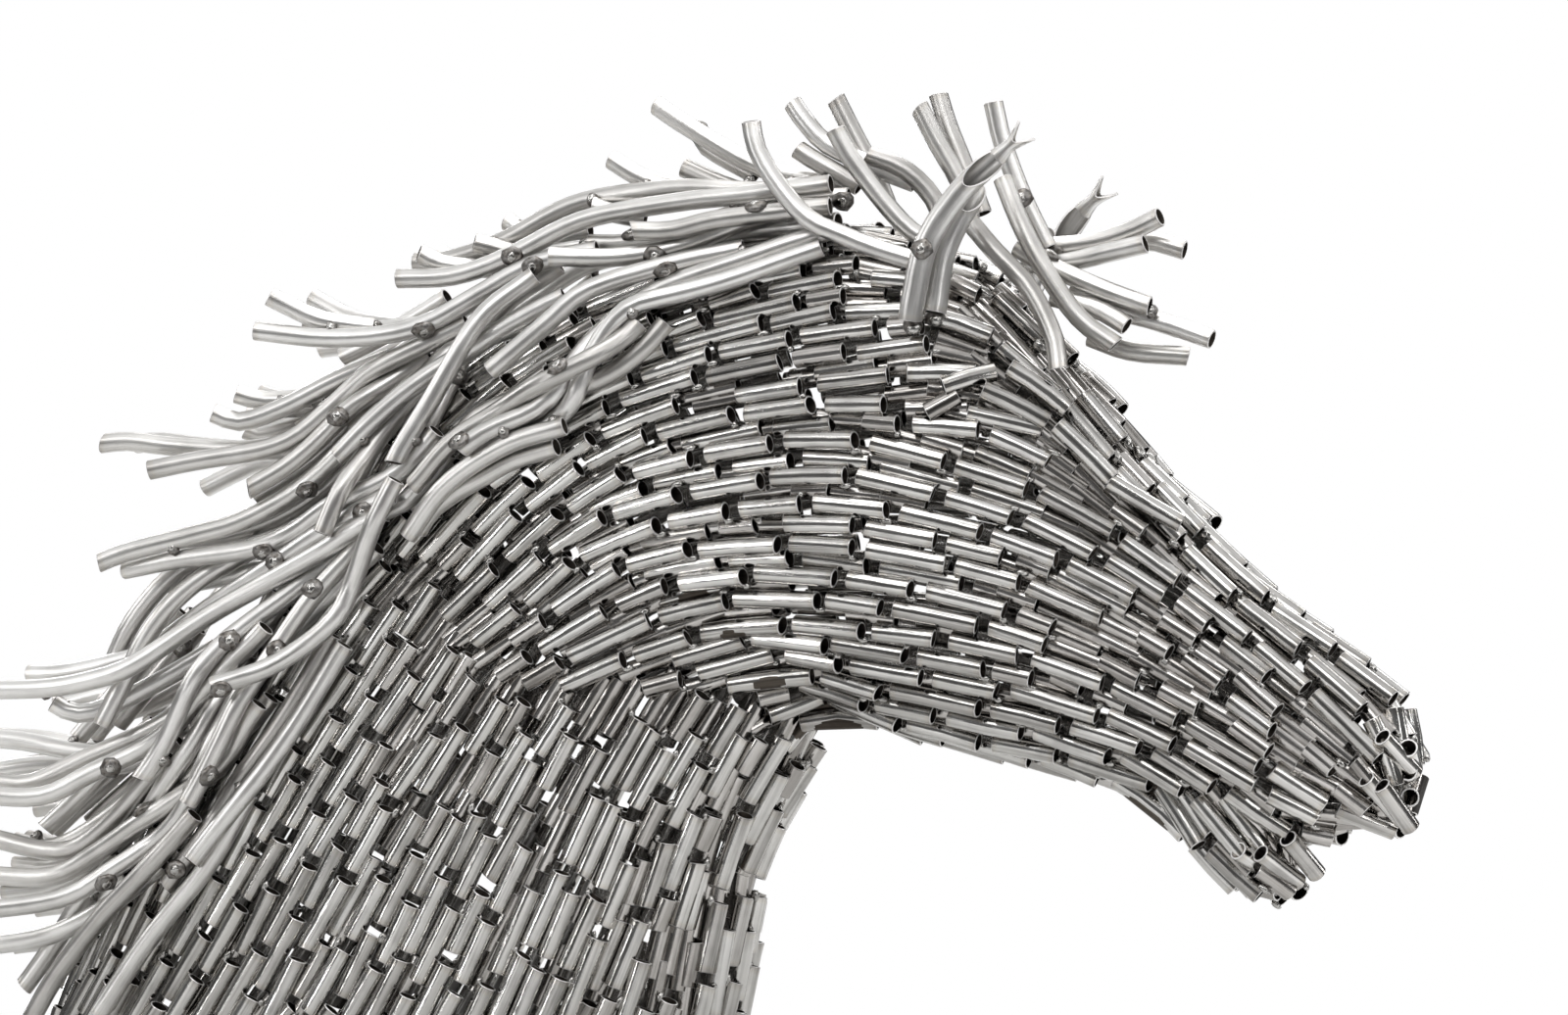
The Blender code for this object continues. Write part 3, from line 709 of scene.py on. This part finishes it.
def cut_short(rows):
    """The short tubes of every row: their centre lines, outward hints and tones."""
    rng = np.random.default_rng(SEED + 1)
    tubes = []
    for trail, phase, depth in rows:
        if len(trail) * ROW_STEP < LEAST_TUBE:
            continue
        points = np.array([p for p, _, _ in trail])
        normals = np.array([n for _, n, _ in trail])
        run = run_along(points)
        cuts = []
        place = (math.floor(-phase) + phase) * TUBE_PERIOD
        while place < run[-1] + TUBE_PERIOD:
            cuts.append(place + rng.uniform(-CUT_JITTER, CUT_JITTER) * TUBE_PERIOD)
            place += TUBE_PERIOD
        for start, end in zip(cuts[:-1], cuts[1:]):
            gap = END_GAP * rng.uniform(*GAP_RANGE) * 0.5
            start, end = max(start + gap, 0.0), min(end - gap, run[-1])
            if end - start < LEAST_TUBE:
                continue
            places = np.linspace(start, end, LINE_POINTS)
            curve = at_places(places, run, points)
            upward = at_places(places, run, normals)
            if any(in_eye(p) for p in curve):
                continue
            upward /= np.linalg.norm(upward, axis=1)[:, None]
            curve = curve - upward * (TUBE_RADIUS + depth)
            chord = curve[0] + np.linspace(0, 1, LINE_POINTS)[:, None] * (curve[-1] - curve[0])
            line = STRAIGHT_SHARE * chord + CURVED_SHARE * curve
            middle = upward[1:3].mean(axis=0)
            front = 1 if line[-1][0] > line[0][0] else -1
            tilt = np.array(TILT)[::front] + rng.uniform(-TILT_JITTER, TILT_JITTER, 2)
            line += np.linspace(tilt[0], tilt[1], LINE_POINTS)[:, None] * middle
            aside = np.cross(middle, line[-1] - line[0])
            sway = rng.uniform(-SWAY, SWAY, 2)
            line += np.linspace(sway[0], sway[1], LINE_POINTS)[:, None] * aside / np.linalg.norm(aside)
            tubes.append((held_back(line), middle, rng.random()))
    return tubes


# Tubes laid on the hide round the eye and on the brow: how far proud, then the route
EYE_TUBES = (
    (0.35, (451, 544), (472, 551), (493, 556)),
    (0.15, (437, 523), (450, 530), (463, 537)),
    (0.55, (483, 541), (510, 529), (535, 515)),
    (0.05, (471, 524), (500, 518), (531, 511)),
    (0.90, (503, 556), (526, 541), (549, 522)),
    (0.90, (541, 510), (563, 489), (585, 466)),
    (0.75, (583, 466), (610, 449), (640, 431)),
)
# Open ends at the nostril and the chin: place in the view, then the way each looks: along, up, into
OPEN_ENDS = (
    ((803, 262), (-0.55, 0.60, -0.55)),
    ((824, 253), (-0.10, 0.35, -0.90)),
    ((824, 234), (0.00, 0.15, -0.95)),
    ((826, 213), (0.05, 0.05, -0.98)),
    ((790, 228), (-0.60, 0.65, -0.45)),
    ((802, 223), (-0.50, 0.70, -0.45)),
    ((688, 170), (-0.60, 0.45, -0.65)),
    ((706, 168), (-0.65, 0.50, -0.55)),
    ((728, 180), (-0.50, 0.60, -0.60)),
)
OPEN_END_LENGTH = 0.048
OPEN_END_PROUD = 0.004
# How strongly the inner wall of an open end is darkened with painted shade
OPEN_END_INSIDE_SHADE = 0.6
# The band of brow and face that carries more weld: a place of the view on its lower edge, and the edge's fall
FACE_WELDS = (500, 560, 0.92)
# The small weld at a tube's end: how often it is there, how often and how much larger on the face, its size
WELD_SHARE = 0.55
FACE_WELD_SHARE = 0.9
FACE_WELD_SIZE = 1.6
WELD_LENGTH = (0.003, 0.006)
WELD_WIDTH = 0.0028
WELD_HEIGHT = 0.0032
# Where it lies, as shares of the tube's radius: aside, and sunk below the middle
WELD_ASIDE = 1.02
WELD_SUNK = 0.15


def patch_gaps(skin, tubes):
    """Single tubes laid deeper, behind every place of the hide that the rows leave open."""
    rng = np.random.default_rng(SEED + 5)
    grid = Grid(PATCH_REACH)
    for number, (line, _, _) in enumerate(tubes):
        for share in np.linspace(0.0, 1.0, TUBE_PLACES):
            at = share * (len(line) - 1)
            i = min(int(at), len(line) - 2)
            grid.add(line[i] + (line[i + 1] - line[i]) * (at - i), number)
    patches = []
    for i in rng.permutation(len(skin.points)):
        point, normal = skin.points[i], skin.normals[i]
        middle = point - normal * TUBE_RADIUS
        is_underside = point[2] < PATCH_LOWEST and normal[2] < -0.5
        if is_underside or grid.near(middle, PATCH_REACH):
            continue
        line, _ = row_direction(point, normal)
        half = rng.uniform(*PATCH_HALF)
        ends = []
        for place in (-half, 0.0, half):
            spot, upward, _ = skin.nearest(point + line * place)
            ends.append(spot - upward * (TUBE_RADIUS + PATCH_DEPTH))
        for place in np.linspace(-half, half, PATCH_PLACES):
            grid.add(middle + line * place, -1)
        patches.append((held_back(np.array(ends)), normal, rng.random()))
    return patches


def far_side_of(routes):
    """The chosen tubes of the near side again, with each tip a little longer and lower."""
    return [(tip_depth, (along - FAR_TIP_LONGER, up - FAR_TIP_LOWER), *places)
            for tip_depth, (along, up), *places in routes]


def companions(routes, share, deeper, rng):
    """Extra tubes beside some of the routes, shorter at the tip and deeper in the mane."""
    extra = []
    for tip_depth, *places in routes:
        if rng.random() > share:
            continue
        shift = [rng.uniform(*COMPANION_SHIFT) * rng.choice((-1, 1)) for _ in range(2)]
        start = np.array(places[0]) * COMPANION_START[0] + np.array(places[1]) * COMPANION_START[1]
        moved = [tuple(np.array(place) + shift) for place in (start, *places[1:])]
        extra.append((min(tip_depth + rng.uniform(*deeper), COMPANION_DEEPEST), *moved))
    return extra


def mane_tubes(skin):
    """Every bent tube by group, settled until none runs through another."""
    rng = np.random.default_rng(SEED + 2)
    drawn = {
        "mane_upper": UPPER_MANE, "mane_middle": MIDDLE_MANE, "mane_lower": LOWER_MANE,
        "mane_far_side": far_side_of(FAR_SIDE_MANE), "forelock": FORELOCK,
        "ear_near": NEAR_EAR, "ear_far": FAR_EAR,
    }
    fuller = (UPPER_MANE[2:4] + MIDDLE_MANE[2:5] + MIDDLE_MANE[8:9] + MIDDLE_MANE[10:14]
              + LOWER_MANE[2:6] + LOWER_MANE[8:12] + LOWER_MANE[14:19])
    beside = {
        "mane_upper": companions(UPPER_MANE[0:2] + UPPER_MANE[11:12] + UPPER_MANE[20:21], 1.0, (25, 50), rng),
        "mane_middle": companions(MIDDLE_MANE, 0.7, (25, 55), rng),
        "mane_lower": companions(LOWER_MANE, 0.7, (30, 60), rng),
        "mane_far_side": [(FULLER_SHARE * tip, *places) for tip, *places in fuller],
    }
    tubes = [Tube(group, route, EAR_RADIUS if group in EARS else TUBE_RADIUS, skin, group in FAR_GROUPS)
             for table in (drawn, beside) for group, routes in table.items() for route in routes]
    settle(tubes, skin)
    return tubes


def oblique(sides, depth, turn):
    """The cut of a tube end sawn off at a slant."""
    return depth * (0.5 + 0.5 * np.cos(round_angles(sides) - turn))


def sawn(sides, slant, rng):
    """A cut at some slight slant, turned some way round."""
    return oblique(sides, rng.uniform(0.0, slant), rng.uniform(0, CUT_TURNS))


EARS = ("ear_near", "ear_far")
FAR_GROUPS = ("mane_far_side", "ear_far")
# How bent tubes are made: sides, the hint across them, ring spacing, strength of the painted shade inside,
# slot
BENT_MAKE = (16, (0.1, 0.2, 1.0), 0.012, 1.0, "bent_tubes")
EAR_MAKE = (24, (0.25, -0.9, 0.1), 0.006, 0.2, "ear_tubes")
# Each ear tube's slanting mouth, and how far it stops short
EAR_MOUTHS = ((0.040, 0.026), (0.026, 0.034))
# The small forked tube behind the mouth
FORK_LENGTH = 0.034
FORK_POINTS = 8
FORK_TONE = 0.8
FORK_NOTCH = 0.014
FORK_RADIUS = 0.0066
FORK_RINGS = 0.004
# The width of the fork: metres from its points, share of the full width
FORK_PINCH = ((0.0, 1.65), (0.010, 1.15), (0.020, 0.80), (0.034, 1.20))


def fork_notch(sides):
    """A notch cut through a tube's end from front to back, which leaves a point on each side."""
    return FORK_NOTCH * np.abs(np.cos(round_angles(sides))) ** 1.5


# How far the lower ends of the far ear's tubes run on, to bend in to the hide
EAR_ROOT = 0.036


def rooted(line, skin):
    """A centre line with its lower end bent in to the hide."""
    end = line[-1]
    heading = (end - line[-3]) / np.linalg.norm(end - line[-3])
    spot, normal, _ = skin.nearest(end + heading * EAR_ROOT)
    foot = np.array(spot - normal * EAR_RADIUS)
    bend = end + heading * EAR_ROOT / 2.0
    share = np.linspace(0.2, 1.0, 5)[:, None]
    run = (1.0 - share) ** 2 * end + 2.0 * share * (1.0 - share) * bend + share ** 2 * foot
    return np.vstack([line, run])


# The weld under an ear tube: its half widths, its bead's size and where the bead lies on it
EAR_PAD = (0.0085, 0.0075)
EAR_PAD_SUNK = 0.002
EAR_BEAD_SIZE = (0.0060, 0.0050, 0.0050)
EAR_BEAD_SHARE = (0.6, 0.4)
EAR_BEAD = np.array((0.003, -0.003, -0.004))

# A lump's roughness: its height, its grain and how far the lumps differ
LUMP_HEIGHT = 0.22
LUMP_GRAIN = 1.7
LUMP_SPREAD = 900.0

# The way a weld's pad and its bead lie
PAD_LINE = (1.0, 0.0, 0.3)
BEAD_LINE = (0.3, 0.0, 1.0)
# Half sizes of the welds on bent tubes: large round ones, then the small ones where tubes meet
BUTTON_PAD = (0.0098, 0.0086, 0.0040)
BUTTON_BEAD = (0.0050, 0.0044, 0.0026)
BUTTON_PROUD = 0.0022
JOINT_PAD = (0.0062, 0.0052, 0.0040)
JOINT_BEAD = (0.0040, 0.0034, 0.0026)
JOINT_PROUD = 0.003
JOINT_OUT = 0.55
JOINT_LIFT = 0.35
JOINT_REACH = 2.4 * TUBE_RADIUS
JOINT_APART = 0.030

# Round welds seen on the near side, by their place in the view
WELD_BUTTONS = (
    (371, 694), (102, 650), (119, 642), (227, 638), (218, 650), (169, 606), (30, 590), (58, 553),
    (-65, 460), (-101, 410), (-91, 402), (-19, 442), (-170, 332), (-128, 338), (-89, 330), (-226, 234),
    (-172, 151), (-144, 228), (-134, 298), (434, 654), (537, 650), (515, 696), (540, 652), (398, 640),
    (60, 500), (140, 560), (300, 690), (200, 668), (-60, 380), (-200, 200), (-230, 140), (-40, 520),
)


class Lumps:
    """Gathers the small welds of one piece."""

    def __init__(self):
        bm = bmesh.new()
        bmesh.ops.create_icosphere(bm, subdivisions=2, radius=1.0)
        self.form = np.array([v.co for v in bm.verts])
        self.sides = np.array([[v.index for v in face.verts] for face in bm.faces])
        bm.free()
        self.places = []
        self.faces = []

    def add(self, centre, normal, line, size):
        """A lump with half sizes along the line, across it and out."""
        centre = np.array(centre)
        normal = np.array(normal) / np.linalg.norm(normal)
        line = np.array(line) - normal * (np.array(line) @ normal)
        line /= max(np.linalg.norm(line), 1e-9)
        rough = [noise.noise(Vector(point * LUMP_GRAIN + centre * LUMP_SPREAD)) for point in self.form]
        shape = self.form * (1.0 + LUMP_HEIGHT * np.array(rough))[:, None] * np.array(size)
        self.faces.append(self.sides + len(self.form) * len(self.places))
        self.places.append(centre + shape[:, :1] * line + shape[:, 1:2] * np.cross(normal, line)
                           + shape[:, 2:] * normal)

    def piece(self, name, material, node):
        mesh = make_mesh(name, self.places, self.faces)
        placed(name, mesh, material, node)


def closest_points(first, second):
    """How near two tubes run, and the point of each where they do."""
    away = np.linalg.norm(first.points[:, None, :] - second.points[None, :, :], axis=2)
    i, j = np.unravel_index(np.argmin(away), away.shape)
    return away[i, j], first.points[i], second.points[j]


def link(material, output, socket):
    material.node_tree.links.new(output, socket)


def math_node(material, kind, first, second):
    node = material.node_tree.nodes.new("ShaderNodeMath")
    node.operation = kind
    for socket, value in zip(node.inputs, (first, second)):
        if isinstance(value, (int, float)):
            socket.default_value = value
        else:
            link(material, value, socket)
    return node.outputs[0]


def new_material(name, metallic, rough=None):
    """A material with nodes, and its shader."""
    material = bpy.data.materials.new(name)
    material.use_nodes = True
    shader = material.node_tree.nodes["Principled BSDF"]
    shader.inputs["Metallic"].default_value = metallic
    if rough is not None:
        shader.inputs["Roughness"].default_value = rough
    return material, shader


def add_bump(material, shader, height, strength, distance):
    bump = material.node_tree.nodes.new("ShaderNodeBump")
    bump.inputs["Strength"].default_value = strength
    bump.inputs["Distance"].default_value = distance
    link(material, height, bump.inputs["Height"])
    link(material, bump.outputs["Normal"], shader.inputs["Normal"])


def ramp(material, value, stops):
    node = material.node_tree.nodes.new("ShaderNodeValToRGB")
    while len(node.color_ramp.elements) < len(stops):
        node.color_ramp.elements.new(0.5)
    for element, (place, colour) in zip(node.color_ramp.elements, stops):
        element.position = place
        element.color = (*colour, 1.0)
    link(material, value, node.inputs["Fac"])
    return node.outputs["Color"]


def blend_colour(material, kind, share, first, second):
    node = material.node_tree.nodes.new("ShaderNodeMix")
    node.data_type = "RGBA"
    node.blend_type = kind
    sockets = {socket.identifier: socket for socket in node.inputs}
    for name, value in (("Factor_Float", share), ("A_Color", first), ("B_Color", second)):
        if isinstance(value, float):
            sockets[name].default_value = value
        elif isinstance(value, tuple):
            sockets[name].default_value = (*value, 1.0)
        else:
            link(material, value, sockets[name])
    return next(s for s in node.outputs if s.identifier == "Result_Color")


def tube_steel(name, dark, bright, rough, tint):
    """Drawn stainless tube: lengthwise draw marks, dull blotches, heat colour at the welded ends, painted
    shade inside.
    """
    material, shader = new_material(name, 1.0)
    nodes = material.node_tree.nodes
    uv = nodes.new("ShaderNodeUVMap")
    uv.uv_map = "round_and_along"

    def add(first, second):
        return math_node(material, "ADD", first, second)

    def times(first, second):
        return math_node(material, "MULTIPLY", first, second)

    def read(key):
        """A value that the mesh carries at every point."""
        node = nodes.new("ShaderNodeAttribute")
        node.attribute_name = key
        return node.outputs["Fac"]

    def marks(round_scale, long_scale, detail):
        """Noise drawn out round and along the tube, different on each tube."""
        mapping = nodes.new("ShaderNodeMapping")
        mapping.inputs["Scale"].default_value = (round_scale, long_scale, 1.0)
        link(material, uv.outputs["UV"], mapping.inputs["Vector"])
        node = nodes.new("ShaderNodeTexNoise")
        node.noise_dimensions = "4D"
        node.inputs["Scale"].default_value = 1.0
        node.inputs["Detail"].default_value = detail
        link(material, mapping.outputs["Vector"], node.inputs["Vector"])
        link(material, own, node.inputs["W"])
        return node.outputs["Fac"]

    tone, end_near, inside = read("tone"), read("end_near"), read("inside")
    own = times(tone, 61.0)
    streaks, fine, blotches = marks(14.0, 7.0, 3.0), marks(75.0, 22.0, 2.0), marks(1.6, 34.0, 3.0)
    steel = ramp(material, add(times(streaks, 0.65), times(blotches, 0.35)), ((0.38, dark), (0.56, bright)))
    each = ramp(material, tone, ((0.0, (0.66, 0.65, 0.64)), (0.35, (0.92, 0.915, 0.905)), (1.0, WHITE)))
    steel = blend_colour(material, "MULTIPLY", 1.0, steel, each)
    ragged = add(times(end_near, 62.0), times(blotches, 0.35))
    heat = ramp(material, ragged, ((0.10, (0.62, 0.58, 0.54)), (0.24, (0.70, 0.67, 0.66)),
                                   (0.38, (0.90, 0.86, 0.79)), (0.56, WHITE)))
    steel = blend_colour(material, "MULTIPLY", tint, steel, heat)
    # Painted shade: the inner wall is darkened as far as its inside value says, down to a near black
    shade = ramp(material, inside, ((0.0, WHITE), (1.0, (0.20, 0.18, 0.16))))
    steel = blend_colour(material, "MULTIPLY", 1.0, steel, shade)
    rim = times(math_node(material, "LESS_THAN", end_near, RIM_REACH),
                math_node(material, "LESS_THAN", inside, 0.9))
    link(material, blend_colour(material, "MIX", rim, steel, (0.86, 0.85, 0.84)), shader.inputs["Base Color"])
    dullness = add(times(blotches, 0.12), rough)
    for value, share in ((fine, 0.08), (inside, 0.3), (rim, 0.4)):
        dullness = add(dullness, times(value, share))
    link(material, dullness, shader.inputs["Roughness"])
    add_bump(material, shader, add(fine, streaks), 0.22, 0.0006)
    return material


def weld_steel(name, colours, rough):
    """Weld metal: lumpy and coloured by heat."""
    material, shader = new_material(name, 1.0)
    nodes = material.node_tree.nodes
    patch = nodes.new("ShaderNodeTexNoise")
    patch.inputs["Scale"].default_value = 220.0
    patch.inputs["Detail"].default_value = 3.0
    link(material, nodes.new("ShaderNodeTexCoord").outputs["Object"], patch.inputs["Vector"])
    stops = tuple(zip((0.30, 0.45, 0.58, 0.72), colours))
    link(material, ramp(material, patch.outputs["Fac"], stops), shader.inputs["Base Color"])
    dullness = math_node(material, "MULTIPLY", patch.outputs["Fac"], 0.3)
    link(material, math_node(material, "ADD", dullness, rough), shader.inputs["Roughness"])
    add_bump(material, shader, patch.outputs["Fac"], 0.6, 0.001)
    return material


# The studio's lights: place, size and power
LIGHTS = {
    "overhead": ((0.3, 0.0, 2.4), (2.6, 0.8), 17.0),
    "near_side": ((0.4, -2.3, 2.2), (2.4, 0.35), 16.0),
    "far_side": ((0.2, 2.3, 2.2), (2.4, 0.35), 16.0),
    "behind": ((-2.6, -0.2, 1.6), (0.6, 0.9), 9.0),
    "front": ((2.9, -0.2, 1.6), (0.6, 0.9), 9.0),
    "tall_near_left": ((-1.9, -2.5, 1.25), (0.16, 2.2), 15.0),
    "tall_near_right": ((2.6, -1.7, 1.15), (0.14, 2.0), 9.0),
    "tall_far_left": ((-1.9, 2.5, 1.25), (0.16, 2.2), 15.0),
    "tall_far_right": ((2.6, 1.7, 1.15), (0.14, 2.0), 9.0),
}
LIGHT_AIM = Vector((0.15, 0.0, 0.45))
# The sky that the steel mirrors, from straight below to straight above
SKY = ((0.0, 0.15), (0.15, 0.08), (0.40, 0.20), (0.52, 0.90), (0.65, 1.0), (0.75, 0.72), (1.0, 0.88))


def make_floor():
    """A pale round floor that grows paler to its edge, painted light that makes up for the lamps' fall-off
    there.
    """
    bm = bmesh.new()
    bmesh.ops.create_circle(bm, cap_ends=True, segments=96, radius=FLOOR_RADIUS)
    mesh = bpy.data.meshes.new("floor")
    bm.to_mesh(mesh)
    bm.free()
    paint, shader = new_material("floor_white", 0.0, 0.9)
    far = paint.node_tree.nodes.new("ShaderNodeVectorMath")
    far.operation = "LENGTH"
    link(paint, paint.node_tree.nodes.new("ShaderNodeTexCoord").outputs["Object"], far.inputs[0])
    share = math_node(paint, "DIVIDE", far.outputs["Value"], FLOOR_RADIUS)
    # Painted light: the floor's colour rises from 0.64 to 0.97 towards the edge, where the lamps fall off
    link(paint, ramp(paint, share, ((0.35, (0.64, 0.64, 0.63)), (0.98, (0.97, 0.97, 0.97)))),
         shader.inputs["Base Color"])
    mesh.materials.append(paint)
    put("floor", mesh)


def make_sky():
    """A bright horizon under a dimmer sky for the steel to mirror, and plain white behind the horse."""
    world = bpy.data.worlds.new("studio")
    bpy.context.scene.world = world
    world.use_nodes = True
    nodes = world.node_tree.nodes
    parts = nodes.new("ShaderNodeSeparateXYZ")
    link(world, nodes.new("ShaderNodeTexCoord").outputs["Generated"], parts.inputs["Vector"])
    sky = ramp(world, parts.outputs["Z"], [(place, (level, level, level)) for place, level in SKY])
    link(world, sky, nodes["Background"].inputs["Color"])
    plain = nodes.new("ShaderNodeBackground")
    plain.inputs["Color"].default_value = (*WHITE, 1.0)
    choice = nodes.new("ShaderNodeMixShader")
    link(world, nodes.new("ShaderNodeLightPath").outputs["Is Camera Ray"], choice.inputs["Fac"])
    link(world, nodes["Background"].outputs["Background"], choice.inputs[1])
    link(world, plain.outputs["Background"], choice.inputs[2])
    link(world, choice.outputs["Shader"], nodes["World Output"].inputs["Surface"])


def make_lights():
    """Soft lights above and on every side."""
    for name, (place, size, power) in LIGHTS.items():
        light = bpy.data.lights.new(name, "AREA")
        light.shape = "RECTANGLE"
        light.size, light.size_y = size
        light.energy = power
        lamp = put(name, light)
        lamp.location = place
        lamp.rotation_euler = (LIGHT_AIM - Vector(place)).to_track_quat("-Z", "Y").to_euler()


def make_camera():
    """The photograph's view, from far off, turned a little to the front."""
    camera = bpy.data.cameras.new("photo_view")
    camera.sensor_width = SENSOR_WIDTH
    camera.clip_end = 3.0 * CAMERA_DISTANCE
    camera.lens = SENSOR_WIDTH * CAMERA_DISTANCE / FRAME_WIDTH
    item = put("photo_view", camera)
    item.location = in_view(*FRAME_CENTRE, -CAMERA_DISTANCE)
    item.rotation_euler = Vector(INWARD).to_track_quat("-Z", "Y").to_euler()
    bpy.context.scene.camera = item


def laid(skin, route, proud):
    """A line laid on the near side of the hide, its middle the given share of a tube's width proud."""
    points = []
    for along, up in smooth_line(route):
        into = skin.near_face(along, up)
        if into is not None:
            spot, normal, _ = skin.nearest(in_view(along, up, into))
            points.append(spot + normal * (proud * TUBE_OD - TUBE_RADIUS))
    return np.array(points), normal


def dress_hide(skin, steel, weld):
    """The short tubes of the hide in two pieces, with the eye, the open ends and the small welds."""
    tubes = cut_short(lay_rows(skin))
    patches = patch_gaps(skin, tubes)
    rng = np.random.default_rng(SEED + 3)
    banks = {"head_tubes": Bank(HIDE_SIDES), "neck_tubes": Bank(HIDE_SIDES)}
    lumps = Lumps()

    def add(line, outward, tone, cuts, spacing):
        """Adds a tube to the bank of the head or the neck, wherever it lies."""
        bank = banks["head_tubes" if above_seam(*seen_at(line[1])) else "neck_tubes"]
        bank.tube(line, TUBE_RADIUS, tone, outward, spacing, *cuts)

    for line, outward, tone in tubes:
        add(line, outward, tone, [sawn(HIDE_SIDES, HIDE_SLANT, rng) for _ in range(2)], ROW_RINGS)
        along, up = seen_at(line[1])
        on_face = up > FACE_WELDS[1] * UNIT - FACE_WELDS[2] * (along - FACE_WELDS[0] * UNIT)
        if rng.random() < (FACE_WELD_SHARE if on_face else WELD_SHARE):
            along_tube = line[-1] - line[-2]
            side = np.cross(outward, along_tube)
            side /= np.linalg.norm(side)
            side = side * rng.choice((-1, 1)) * TUBE_RADIUS * WELD_ASIDE
            spot = line[-1] + side - outward * TUBE_RADIUS * WELD_SUNK
            size = FACE_WELD_SIZE if on_face else 1.0
            lumps.add(spot, outward, along_tube,
                      (rng.uniform(*WELD_LENGTH) * size, WELD_WIDTH * size, WELD_HEIGHT * size))
    for line, outward, tone in patches:
        add(line, outward, tone, (), PATCH_RINGS)
    for proud, *route in EYE_TUBES:
        line, outward = laid(skin, route, proud)
        for side in BOTH_SIDES:
            banks["head_tubes"].tube(line * side, TUBE_RADIUS, rng.random(), outward * side, EYE_RINGS)
    for place, look in OPEN_ENDS:
        along, up = np.array(place) * UNIT
        into = skin.near_face(along, up)
        if into is None:
            continue
        look = in_view(*look) / np.linalg.norm(look)
        mouth = in_view(along, up, into - OPEN_END_PROUD)
        line = np.array([mouth, mouth - look * OPEN_END_LENGTH])
        banks["head_tubes"].tube(line, TUBE_RADIUS, rng.random(), UPWARD, OPEN_END_RINGS, dark=OPEN_END_INSIDE_SHADE)
    for name, bank in banks.items():
        bank.piece(name, steel, "hide", "short_tubes")
    lumps.piece("hide_welds", weld, "hide")


def dress_mane(skin, steel, weld, bead):
    """The bent tubes of every group as hollow tubes, and the welds that hold them."""
    tubes = mane_tubes(skin)
    rng = np.random.default_rng(SEED + 4)
    banks = {}
    for group in dict.fromkeys(tube.group for tube in tubes):
        is_ear = group in EARS
        sides, hint, rings, dark, slot = EAR_MAKE if is_ear else BENT_MAKE
        bank = banks[group] = Bank(sides)
        for number, tube in enumerate(tube for tube in tubes if tube.group == group):
            cut = sawn(sides, BENT_SLANT, rng)
            line = tube.points
            if is_ear:
                mouth, short = EAR_MOUTHS[number]
                cut = oblique(sides, mouth, 0.0) + short
            if is_ear and number == 0:
                fork = at_places(np.linspace(0.0, FORK_LENGTH, FORK_POINTS), run_along(line), line)
                across, _ = carried_frames(fork, hint)
                bank.tube(fork - across * (tube.radius - FORK_RADIUS), FORK_RADIUS, FORK_TONE, hint,
                          FORK_RINGS, fork_notch(sides), pinch=FORK_PINCH, dark=dark)
            if group == "ear_far":
                line = rooted(line, skin)
            bank.tube(line, tube.radius, rng.random(), hint, rings, cut, dark=dark)
        bank.piece(group + "_tubes", steel, group, slot)
    weld_mane(tubes, banks, skin, weld, bead)


def weld_mane(tubes, banks, skin, weld, bead):
    """Round welds where bent tubes meet: a scorched patch with a bright bead on it."""
    spots = []
    pads = {group: Lumps() for group in banks}
    beads = {group: Lumps() for group in banks}
    trees = {group: bank.tree() for group, bank in banks.items()}
    for along, up in np.array(WELD_BUTTONS) * UNIT:
        start = Vector(in_view(along, up, -VIEW_REACH))
        hits = [(*tree.ray_cast(start, Vector(INWARD)), group) for group, tree in trees.items()]
        hits = [hit for hit in hits if hit[0] is not None]
        if not hits:
            continue
        spot, normal, _, _, group = min(hits, key=lambda hit: hit[3])
        spots.append(np.array(spot))
        pads[group].add(spot, normal, PAD_LINE, BUTTON_PAD)
        beads[group].add(spot + normal * BUTTON_PROUD, normal, BEAD_LINE, BUTTON_BEAD)
    for group in banks:
        if group in EARS:
            continue
        outward = np.array((0.0, 1.0 if group == "mane_far_side" else -1.0, JOINT_LIFT))
        chosen = [tube for tube in tubes if tube.group == group]
        for first, second in combinations(chosen, 2):
            away, start, end = closest_points(first, second)
            middle = (start + end) / 2.0 + outward * JOINT_OUT * TUBE_RADIUS
            if away > JOINT_REACH or any(np.linalg.norm(middle - spot) < JOINT_APART for spot in spots):
                continue
            spots.append(middle)
            pads[group].add(middle, outward, end - start, JOINT_PAD)
            beads[group].add(middle + outward * JOINT_PROUD, outward, end - start, JOINT_BEAD)
    for tube in tubes:
        if tube.group == "ear_near":
            foot = tube.points[-1]
            spot, _, away = skin.nearest(foot)
            size = (*EAR_PAD, away / 2.0 + EAR_PAD_SUNK)
            pads["ear_near"].add((foot + spot) / 2.0, foot - spot, PAD_LINE, size)
            place = foot * EAR_BEAD_SHARE[0] + spot * EAR_BEAD_SHARE[1] + EAR_BEAD
            beads["ear_near"].add(place, foot - spot, PAD_LINE, EAR_BEAD_SIZE)
    for group in banks:
        if pads[group].places:
            pads[group].piece(group + "_weld_pads", weld, group)
            beads[group].piece(group + "_weld_beads", bead, group)


def main():
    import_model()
    make_camera()
    make_floor()
    make_sky()
    make_lights()
    skin = Skin(bpy.data.objects["hide"])
    short_steel = tube_steel("short_tube_steel", (0.41, 0.402, 0.39), (0.75, 0.74, 0.725), 0.03, 0.55)
    bent_steel = tube_steel("bent_tube_steel", (0.59, 0.58, 0.565), (0.84, 0.83, 0.815), 0.25, 0.45)
    scorched = weld_steel("scorched_weld", ((0.09, 0.08, 0.072), (0.20, 0.185, 0.17), (0.28, 0.27, 0.26),
                                            (0.14, 0.13, 0.125)), 0.24)
    bead = weld_steel("weld_bead", ((0.26, 0.25, 0.235), (0.44, 0.43, 0.415), (0.56, 0.55, 0.53),
                                    (0.34, 0.33, 0.32)), 0.10)
    dress_hide(skin, short_steel, bead)
    dress_mane(skin, bent_steel, scorched, bead)
    bpy.context.scene.view_settings.view_transform = "Standard"


main()
